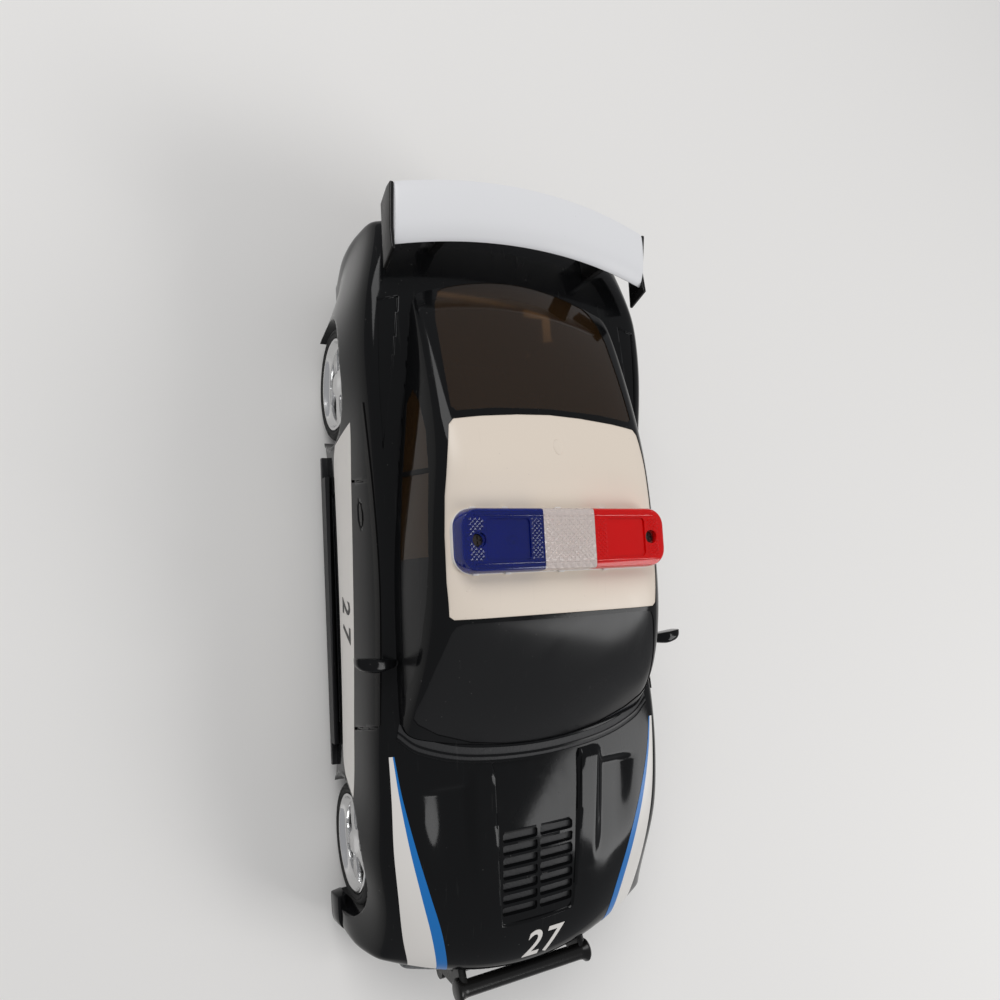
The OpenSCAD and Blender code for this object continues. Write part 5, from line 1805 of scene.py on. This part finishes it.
@dataclass
class Wheels:
    """Bright five-window rims and treaded tyres.

    Attributes:
        rim_r: Radius of the rims.
        windows: Windows of a rim.
        grooves: Cross grooves of a tyre's tread.
        turn: Turn of the windows in degrees.
        groove_w: Width of a cross groove.
        groove_d: Its depth.
    """

    rim_r: float = 17.0
    windows: int = 5
    grooves: int = 44
    turn: float = 14.0
    groove_w: float = 0.7
    groove_d: float = 0.55

    LOOKS = {"rim": (RIM_SILVER, "rim_silver", 40), "tyre": (TYRE_BLACK, "tyre_black", 32)}
    # Outline of a window: out from the axle, and across
    WINDOW = [(5.4, 1.5), (6.2, 2.0), (11.6, 5.0), (12.9, 4.9), (13.7, 2.6), (13.9, 0.0), (13.7, -2.6),
              (12.9, -4.9), (11.6, -5.0), (6.2, -2.0), (5.4, -1.5), (5.1, 0.0)]

    def rim(self, end: str, side: Side) -> None:
        """Models one rim.

        Args:
            end: front or rear.
            side: Side of the car.
        """
        y, z, _, inner, outer = wheel_place(end)
        r = self.rim_r
        half = [(inner + 1.5, 0.0), (inner + 1.5, 3.8), (outer - 6.4, 3.8), (outer - 6.4, r - 2.4),
                (inner + 1.5, r - 2.4), (inner + 1.5, r), (outer - 0.8, r), (outer - 0.35, r - 0.25),
                (outer - 0.2, r - 0.7), (outer - 0.35, r - 1.2), (outer - 1.2, r - 1.7),
                (outer - 2.2, r - 2.3), (outer - 2.5, r - 3.0), (outer - 2.2, r - 5.5), (outer - 1.7, 5.6),
                (outer - 1.3, 4.2), (outer - 0.7, 3.6), (outer - 0.4, 2.6), (outer - 0.4, 0.0)]
        made = turned("rim", half, (0, y, z), steps=96)
        bm = bmesh.new()
        for k in range(self.windows):
            a = math.radians(self.turn + 360 * k / self.windows)
            c, s = math.cos(a), math.sin(a)
            add_prism(bm, [(inner, y + u * c - v * s, z + u * s + v * c) for u, v in self.WINDOW], (30, 0, 0))
        cut(made, as_object(bm, "windows"))
        bm = reopen(made)
        round_edges(bm, 0.18, 2, least=45)
        tidy(bm)
        self.place(as_object(bm, "rim"), "rim", end, side)

    def tyre(self, end: str, side: Side) -> None:
        """Models one tyre.

        Args:
            end: front or rear.
            side: Side of the car.
        """
        y, z, tyre_r, inner, outer = wheel_place(end)
        r, mid = self.rim_r, (inner + outer) / 2
        rut = tyre_r - 0.6
        loop = [(inner + 1.5, r), (outer - 1.0, r), (outer - 0.45, r + 0.35), (outer - 0.2, r + 1.0),
                (outer - 0.1, r + 1.5), (outer - 0.3, r + 1.6), (outer - 0.3, r + 1.75),
                (outer - 0.05, r + 1.85), (outer, r + 2.2), (outer - 0.3, r + 2.8), (outer - 1.0, r + 3.5),
                (outer - 2.6, r + 4.0), (mid + 3.0, tyre_r), (mid + 2.9, rut), (mid + 2.0, rut),
                (mid + 1.9, tyre_r), (mid - 1.9, tyre_r), (mid - 2.0, rut), (mid - 2.9, rut),
                (mid - 3.0, tyre_r), (inner + 2.6, tyre_r), (inner + 1.0, tyre_r - 0.5),
                (inner, tyre_r - 2.0), (inner + 0.2, r + 1.0)]
        made = turned("tyre", loop, (0, y, z), closed=True, steps=132)
        bm = bmesh.new()
        for k in range(self.grooves):
            a = math.tau * k / self.grooves
            for low, high in ((mid + 3.6, outer + 1), (inner - 1, mid - 3.6)):
                verts = add_block(bm, (low, -self.groove_w / 2, tyre_r - self.groove_d),
                                  (high, self.groove_w / 2, tyre_r + 1))
                bmesh.ops.rotate(bm, cent=(0, 0, 0), matrix=Matrix.Rotation(a, 3, "X"), verts=verts)
                bmesh.ops.translate(bm, vec=(0, y, z), verts=verts)
        cut(made, as_object(bm, "grooves"))
        self.place(made, "tyre", end, side)

    def place(self, obj: Object, kind: str, end: str, side: Side) -> None:
        """Mirrors a wheel piece to its side and lets it ride on its axle.

        Args:
            obj: Piece as on the left.
            kind: rim or tyre.
            end: front or rear.
            side: Side of the car.
        """
        if side is Side.RIGHT:
            bm = reopen(obj)
            bmesh.ops.scale(bm, vec=(-1, 1, 1), verts=bm.verts)
            bmesh.ops.reverse_faces(bm, faces=bm.faces)
            obj = as_object(bm, kind)
        finish, slot, sharp = self.LOOKS[kind]
        body = Body.FRONT_WHEELS if end == "front" else Body.REAR_WHEELS
        stand_in(obj, f"{kind}_{end}_{side.word}", finish, slot, body, sharp)

    def build(self) -> None:
        """Models all four wheels."""
        for end in ENDS:
            for side in Side:
                self.rim(end, side)
                self.tyre(end, side)


@dataclass
class Fittings:
    """Lamps, grille, cowl, mouldings, handles and numbers that are set into or laid on the shell.

    Attributes:
        body: Shell that carries them.
        number: Plain number shown in place of lettering.
        pan_rear: Rear edge of the floor pan.
        slot_d: Depth of the cross slots in the floor screws.
        nose_at: Middle of the number on the nose.
        side_at: Middle of the number on the left side.
        insert_at: Middle of the handle inserts.
        insert_half: Half of their length and height.
        lip_middle: Point that the bumper lips are laid round.
        lip_turns: First and last turn of a lip, from the car's side, in radians.
        lip_steps: Steps of a lip.
        lip_foot: Height of its foot.
        lip_h: Its height at the side.
        lip_proud: How far it stands out there.
        lip_root: How deep it sits in the shell.
    """

    body: CarBody
    number: str = "27"
    pan_rear: float = 127.2
    slot_d: float = 0.4
    nose_at: Triple = (1.5, -120.5, 50.0)
    side_at: Triple = (57.0, -4.0, 29.0)
    insert_at: Pair = (30.3, 47.9)
    insert_half: Pair = (3.9, 1.0)
    lip_middle: Triple = (34.0, -99.0, 11.6)
    lip_turns: Pair = (0.16, 1.2)
    lip_steps: int = 40
    lip_foot: float = 9.4
    lip_h: float = 6.6
    lip_proud: float = 1.7
    lip_root: float = 1.6

    # Place, half sizes and height of the marks on the roof
    ROOF_MARKS = [(1.4, 48.5, 1.9, 2.7, 0.32), (-33.4, 3.2, 0.35, 0.8, 0.1)]

    def lamps(self) -> None:
        """Models the lamps and the grille with rounded edges."""
        for side in Side:
            head, tail = f"headlight_{side.word}", f"tail_light_{side.word}"
            stand_in(softened(head, 0.6, 3), head, LAMP_CLEAR, "lamp_clear")
            stand_in(softened(tail, 0.6, 3), tail, LAMP_RED, "lamp_red")
        stand_in(softened("front_grille", 0.25, 2), "front_grille", TRIM_BLACK, "trim_black")

    def floor_pan(self) -> None:
        """Copies the floor pan and ends it inside the lower edge of the tail."""
        bm = mesh_of("chassis_pan", flatten=False)
        bmesh.ops.bisect_plane(bm, geom=[*bm.verts, *bm.edges, *bm.faces], plane_co=(0, self.pan_rear, 0),
                               plane_no=(0, 1, 0), clear_outer=True)
        bmesh.ops.holes_fill(bm, edges=[e for e in bm.edges if e.is_boundary])
        tidy(bm)
        stand_in(as_object(bm, "pan"), "chassis_pan", CHASSIS_BLACK, "chassis_black", sharp=30)

    def floor_screws(self) -> None:
        """Cuts cross slots in the heads of the screws below the car."""
        for node in ("chassis_screws", "battery_door_screw"):
            heads = softened(node, 0.12)
            boxes = island_boxes(heads)
            for long, narrow in ((0.6, 0.13), (0.13, 0.6)):
                bm = bmesh.new()
                for low, high in boxes:
                    middle, r = (low + high) / 2, (high.x - low.x) / 2
                    add_block(bm, (middle.x - long * r, middle.y - narrow * r, low.z - 1),
                              (middle.x + long * r, middle.y + narrow * r, low.z + self.slot_d))
                combine(heads, as_object(bm, "slots"), "DIFFERENCE", solver="EXACT")
            stand_in(heads, node, STEEL, "steel", sharp=30)

    def cowl(self) -> None:
        """Lays the dark cowl band along the foot of the windscreen, with two moulded beads."""
        front = [(-49.5, -43.0), (-42.0, -48.6), (-25.0, -53.4), (0.0, -55.2),
                 (25.0, -53.4), (42.0, -48.6), (49.5, -43.0)]
        rear = [(-48.6, -38.0), (-41.0, -43.6), (-25.0, -48.4), (0.0, -50.4),
                (25.0, -48.4), (41.0, -43.6), (48.6, -38.0)]

        def put(p: Vector) -> Vector:
            """Point over the bonnet."""
            return Vector((p.x, p.y, self.body.bonnet_z))

        tree = self.body.tree
        cover = film("cowl", tree, DOWN, between(front, rear, put), 10, 96, lift=0.2, thickness=0.3)
        finish_piece(cover, "cowl", CHASSIS_BLACK, "trim_black")
        for k, low in enumerate((0.02, 0.4)):
            strip = between(front, rear, put, low, low + 0.14)
            bead = film("bead", tree, DOWN, strip, 4, 96, lift=0.55, thickness=0.5)
            finish_piece(bead, f"cowl_bead_{k + 1}", BODY_BLACK, "body_black")

    def mouldings(self) -> None:
        """Lays the belt mouldings below the side windows, and the handle inserts."""
        low = [(-38.0, 55.4), (-10.0, 54.6), (20.0, 54.6), (45.0, 55.4), (66.0, 57.2)]
        high = [(-38.0, 57.0), (-10.0, 56.4), (20.0, 56.4), (45.0, 57.2), (66.0, 58.0)]
        for side in Side:
            strip = self.body.side_film("moulding", side, low, high, 6, 80, lift=0.45, thickness=0.5)
            finish_piece(strip, f"belt_moulding_{side.word}", TRIM_BLACK, "trim_black")
            outline = oval(side * (self.body.half + 4), self.insert_at, self.insert_half, 28)
            handle = shape("handle", add_prism, outline, (side * -20, 0, 0))
            insert = combine(handle, self.layer(-0.7, 0.9), "INTERSECT")
            finish_piece(insert, f"handle_insert_{side.word}", TRIM_BLACK, "trim_black")

    def layer(self, low: float, thickness: float) -> Object:
        """Closed layer of a thickness over the shell's skin, from a height above it."""
        skin = as_object(self.body.shifted_skin(low), "layer")
        return modify(skin, "SOLIDIFY", thickness=thickness, offset=1)

    def digits(self, name: str, height: float, spacing: float, place: Matrix, finish: Finish,
               lift: float) -> None:
        """Lays the number on the shell.

        Args:
            name: Name of the piece.
            height: Height of the digits.
            spacing: Space between them, 1 as in the font.
            place: Place of the number's middle, its z axis out of the shell.
            finish: Its finish.
            lift: Height of its lower face above the skin.
        """
        curve = bpy.data.curves.new(name, "FONT")
        curve.body = self.number
        curve.size = height * 1.4
        curve.shear = 0.25
        curve.space_character = spacing
        curve.offset = height * 0.018
        curve.extrude = 14.0
        curve.resolution_u = 6
        curve.align_x, curve.align_y = "CENTER", "CENTER"
        text = bpy.data.objects.new(name, curve)
        bpy.context.scene.collection.objects.link(text)
        graph = bpy.context.evaluated_depsgraph_get()
        mesh = bpy.data.meshes.new_from_object(text.evaluated_get(graph))
        bpy.data.objects.remove(text)
        bpy.data.curves.remove(curve)
        bm = bmesh.new()
        bm.from_mesh(mesh)
        bpy.data.meshes.remove(mesh)
        bmesh.ops.transform(bm, matrix=place, verts=bm.verts)
        tidy(bm)
        solid = combine(as_object(bm, name), self.layer(lift, 0.12), "INTERSECT", solver="EXACT")
        finish_piece(solid, name, finish, "white_plastic" if finish is BAND_WHITE else "trim_black")

    def numbers(self) -> None:
        """Lays plain numbers where the toy has lettering."""
        self.digits("number_nose", 9.5, 1.1, Matrix.Translation(self.nose_at), BAND_WHITE, 0.02)
        x, y, z = self.side_at
        for side in Side:
            s = side
            turn = Matrix(((0, 0, s), (s, 0, 0), (0, 1, 0))).to_4x4()
            self.digits(f"number_side_{side.word}", 8.5, 1.5, Matrix.Translation((s * x, y, z)) @ turn,
                        TRIM_BLACK, 0.13)

    def louvre_tray(self) -> None:
        """Sets a dark tray below the bonnet's louvres."""
        def place(u: float, v: float) -> Vector:
            """Point of the tray."""
            return Vector((-15.5 + 31 * u, -111.0 + 34.5 * v, self.body.bonnet_z))

        tray = film("tray", self.body.tree, DOWN, place, 12, 16, lift=-2.1, thickness=0.8)
        finish_piece(tray, "louvre_tray", CHASSIS_BLACK, "body_black")

    def corner_lips(self) -> None:
        """Models the lips round the lower corners of the front bumper."""
        foot, root, (first, last) = self.lip_foot, -self.lip_root, self.lip_turns
        for side in Side:
            bm = bmesh.new()
            rings = []
            for k in range(self.lip_steps + 1):
                turn = first + (last - first) * k / self.lip_steps
                out = Vector((math.cos(turn), -math.sin(turn), 0))
                hit = self.body.tree.ray_cast(Vector(self.lip_middle) + out * 60, -out)[0]
                grow = 1 - ease(k / self.lip_steps, 0.45, 1.0)
                high = foot + 1.0 + self.lip_h * grow
                corners = ((root, foot), (0.5 + self.lip_proud * grow, foot),
                           (0.3 + self.lip_proud * 0.7 * grow, high), (root, high))
                rings.append([bm.verts.new((side * (hit.x + out.x * o), hit.y + out.y * o, z))
                              for o, z in corners])
            join_rings(bm, rings)
            round_edges(bm, 0.4, 2, least=40)
            finish_piece(as_object(bm, "lip"), f"bumper_lip_{side.word}", BODY_BLACK, "body_black")

    def roof_marks(self, cabin: Cabin) -> None:
        """Models the moulding mark and the small nick on the roof.

        Args:
            cabin: Cabin that carries the roof.
        """
        skin = cabin.net().skin("roof_skin", 3)
        tree = tree_of(skin)
        discard(skin)
        bm = bmesh.new()
        for x, y, a, b, h in self.ROOF_MARKS:
            hit, normal, _, _ = tree.ray_cast(Vector((x, y, FAR)), Vector(DOWN))
            verts = bmesh.ops.create_uvsphere(bm, u_segments=28, v_segments=14, radius=1)["verts"]
            tilt = normal.to_track_quat("Z", "Y").to_matrix().to_4x4()
            place = Matrix.Translation(hit) @ tilt @ Matrix.Diagonal((a, b, h, 1))
            bmesh.ops.transform(bm, matrix=place, verts=verts)
        finish_piece(as_object(bm, "marks"), "roof_marks", WHITE_PLASTIC, "white_plastic")

    def build(self, cabin: Cabin) -> None:
        """Models all fittings.

        Args:
            cabin: Cabin that carries the roof.
        """
        self.lamps()
        self.floor_pan()
        self.floor_screws()
        self.cowl()
        self.mouldings()
        self.numbers()
        self.louvre_tray()
        self.corner_lips()
        self.roof_marks(cabin)


@dataclass(frozen=True)
class Studio:
    """Floor, lamps, world and camera.

    Attributes:
        target: Point that the camera looks past, in millimetres.
        azimuth: Direction of the camera in degrees.
        elevation: Its height in degrees.
        roll: Turn of the picture in degrees.
        distance: Distance from the target.
        lens: Focal length for a 36 mm sensor.
        shift: Shift of the picture.
        floor_half: Half of the floor's width in millimetres.
        sky: Colour of the world.
        sky_strength: Strength of the world.
    """

    target: Triple = (0.0, 22.5, 45.0)
    azimuth: float = -81.36
    elevation: float = 62.15
    roll: float = -79.29
    distance: float = 272.08
    lens: float = 26.33
    shift: Pair = (-0.0037, 0.0364)
    floor_half: float = 3000.0
    sky: tuple[float, float, float, float] = (0.86, 0.87, 0.9, 1.0)
    sky_strength: float = 0.42

    # Place in metres, size in metres and power in watts of each soft lamp
    LAMPS = {"softbox_rear": ((-0.55, 0.95, 1.15), 0.8, 9.5), "softbox_left": ((0.9, -0.5, 0.9), 0.6, 6.0)}
    LAMP_TARGET = (0, 0, 0.04)

    def camera(self) -> None:
        """Makes the camera."""
        data = bpy.data.cameras.new("camera")
        data.lens = self.lens
        data.sensor_width = 36.0
        data.shift_x, data.shift_y = self.shift
        data.clip_start, data.clip_end = 0.005, 20.0
        made = bpy.data.objects.new("camera", data)
        a, e, q = (math.radians(v) for v in (self.azimuth, self.elevation, self.roll))
        back = Vector((math.sin(a) * math.cos(e), -math.cos(a) * math.cos(e), math.sin(e)))
        ahead = -back
        right = ahead.cross(Vector((0, 0, 1))).normalized()
        down = ahead.cross(right)
        across = right * math.cos(q) + down * math.sin(q)
        fall = down * math.cos(q) - right * math.sin(q)
        turn = Matrix((across, -fall, back)).transposed()
        place = (Vector(self.target) + back * self.distance) * MM
        made.matrix_world = Matrix.Translation(place) @ turn.to_4x4()
        bpy.context.scene.collection.objects.link(made)
        bpy.context.scene.camera = made

    def floor(self) -> None:
        """Makes the pale floor, which is clear when it is seen from below."""
        bm = bmesh.new()
        bmesh.ops.create_grid(bm, x_segments=1, y_segments=1, size=self.floor_half)
        obj = as_object(bm, "floor")
        obj.data.transform(Matrix.Scale(MM, 4))
        pale = Finish("pale_floor", (0.9, 0.885, 0.86), 0.6, dust=0.0, smudge=0.0, specular=0.2)
        material = pale.material()
        tree = material.node_tree
        mix = add_node(tree, "MixShader")
        tree.links.new(add_node(tree, "NewGeometry").outputs["Backfacing"], mix.inputs["Fac"])
        tree.links.new(tree.nodes["Principled BSDF"].outputs["BSDF"], mix.inputs[1])
        tree.links.new(add_node(tree, "BsdfTransparent").outputs["BSDF"], mix.inputs[2])
        tree.links.new(mix.outputs["Shader"], tree.nodes["Material Output"].inputs["Surface"])
        obj.data.materials.append(material)

    def lamp(self, name: str, place: Sequence[float], size: float, power: float) -> None:
        """Makes a soft lamp that points at the car.

        Args:
            name: Name of the lamp.
            place: Its place in metres.
            size: Size of its square panel in metres.
            power: Power in watts.
        """
        data = bpy.data.lights.new(name, "AREA")
        data.size = size
        data.energy = power
        made = bpy.data.objects.new(name, data)
        made.location = place
        made.rotation_mode = "QUATERNION"
        made.rotation_quaternion = (Vector(self.LAMP_TARGET) - Vector(place)).to_track_quat("-Z", "Y")
        bpy.context.scene.collection.objects.link(made)

    def build(self) -> None:
        """Sets up the floor, the lamps, the world and the camera."""
        self.floor()
        for name, (place, size, power) in self.LAMPS.items():
            self.lamp(name, place, size, power)
        world = bpy.data.worlds.new("studio")
        world.use_nodes = True
        ground = world.node_tree.nodes["Background"]
        ground.inputs["Color"].default_value = self.sky
        ground.inputs["Strength"].default_value = self.sky_strength
        bpy.context.scene.world = world
        bpy.context.scene.view_settings.view_transform = "Standard"
        self.camera()


def dress_solids() -> None:
    """Gives every solid that still shows the finish of its material slot."""
    slots = {part["node"]: part["material_slot"] for part in frame["record"]["subparts"]}
    for name, obj in frame["nodes"].items():
        if obj.hide_render:
            continue
        obj.data.materials.clear()
        obj.data.materials.append(SLOT_FINISHES[slots[name]].material())
        log.info("%s: %s", name, slots[name])


def main() -> None:
    """Builds the car's looks in order."""
    logging.basicConfig(level=logging.INFO, format="%(message)s")
    Studio().build()
    cabin = Cabin()
    cabin.build()
    body = CarBody()
    body.build(cabin)
    body.stripes()
    body.side_bands()
    LightBar().build()
    RearWing().build()
    PushBar().build()
    DoorMirrors().build()
    Wheels().build()
    Fittings(body).build(cabin)
    dress_solids()


if __name__ == "__main__":
    main()
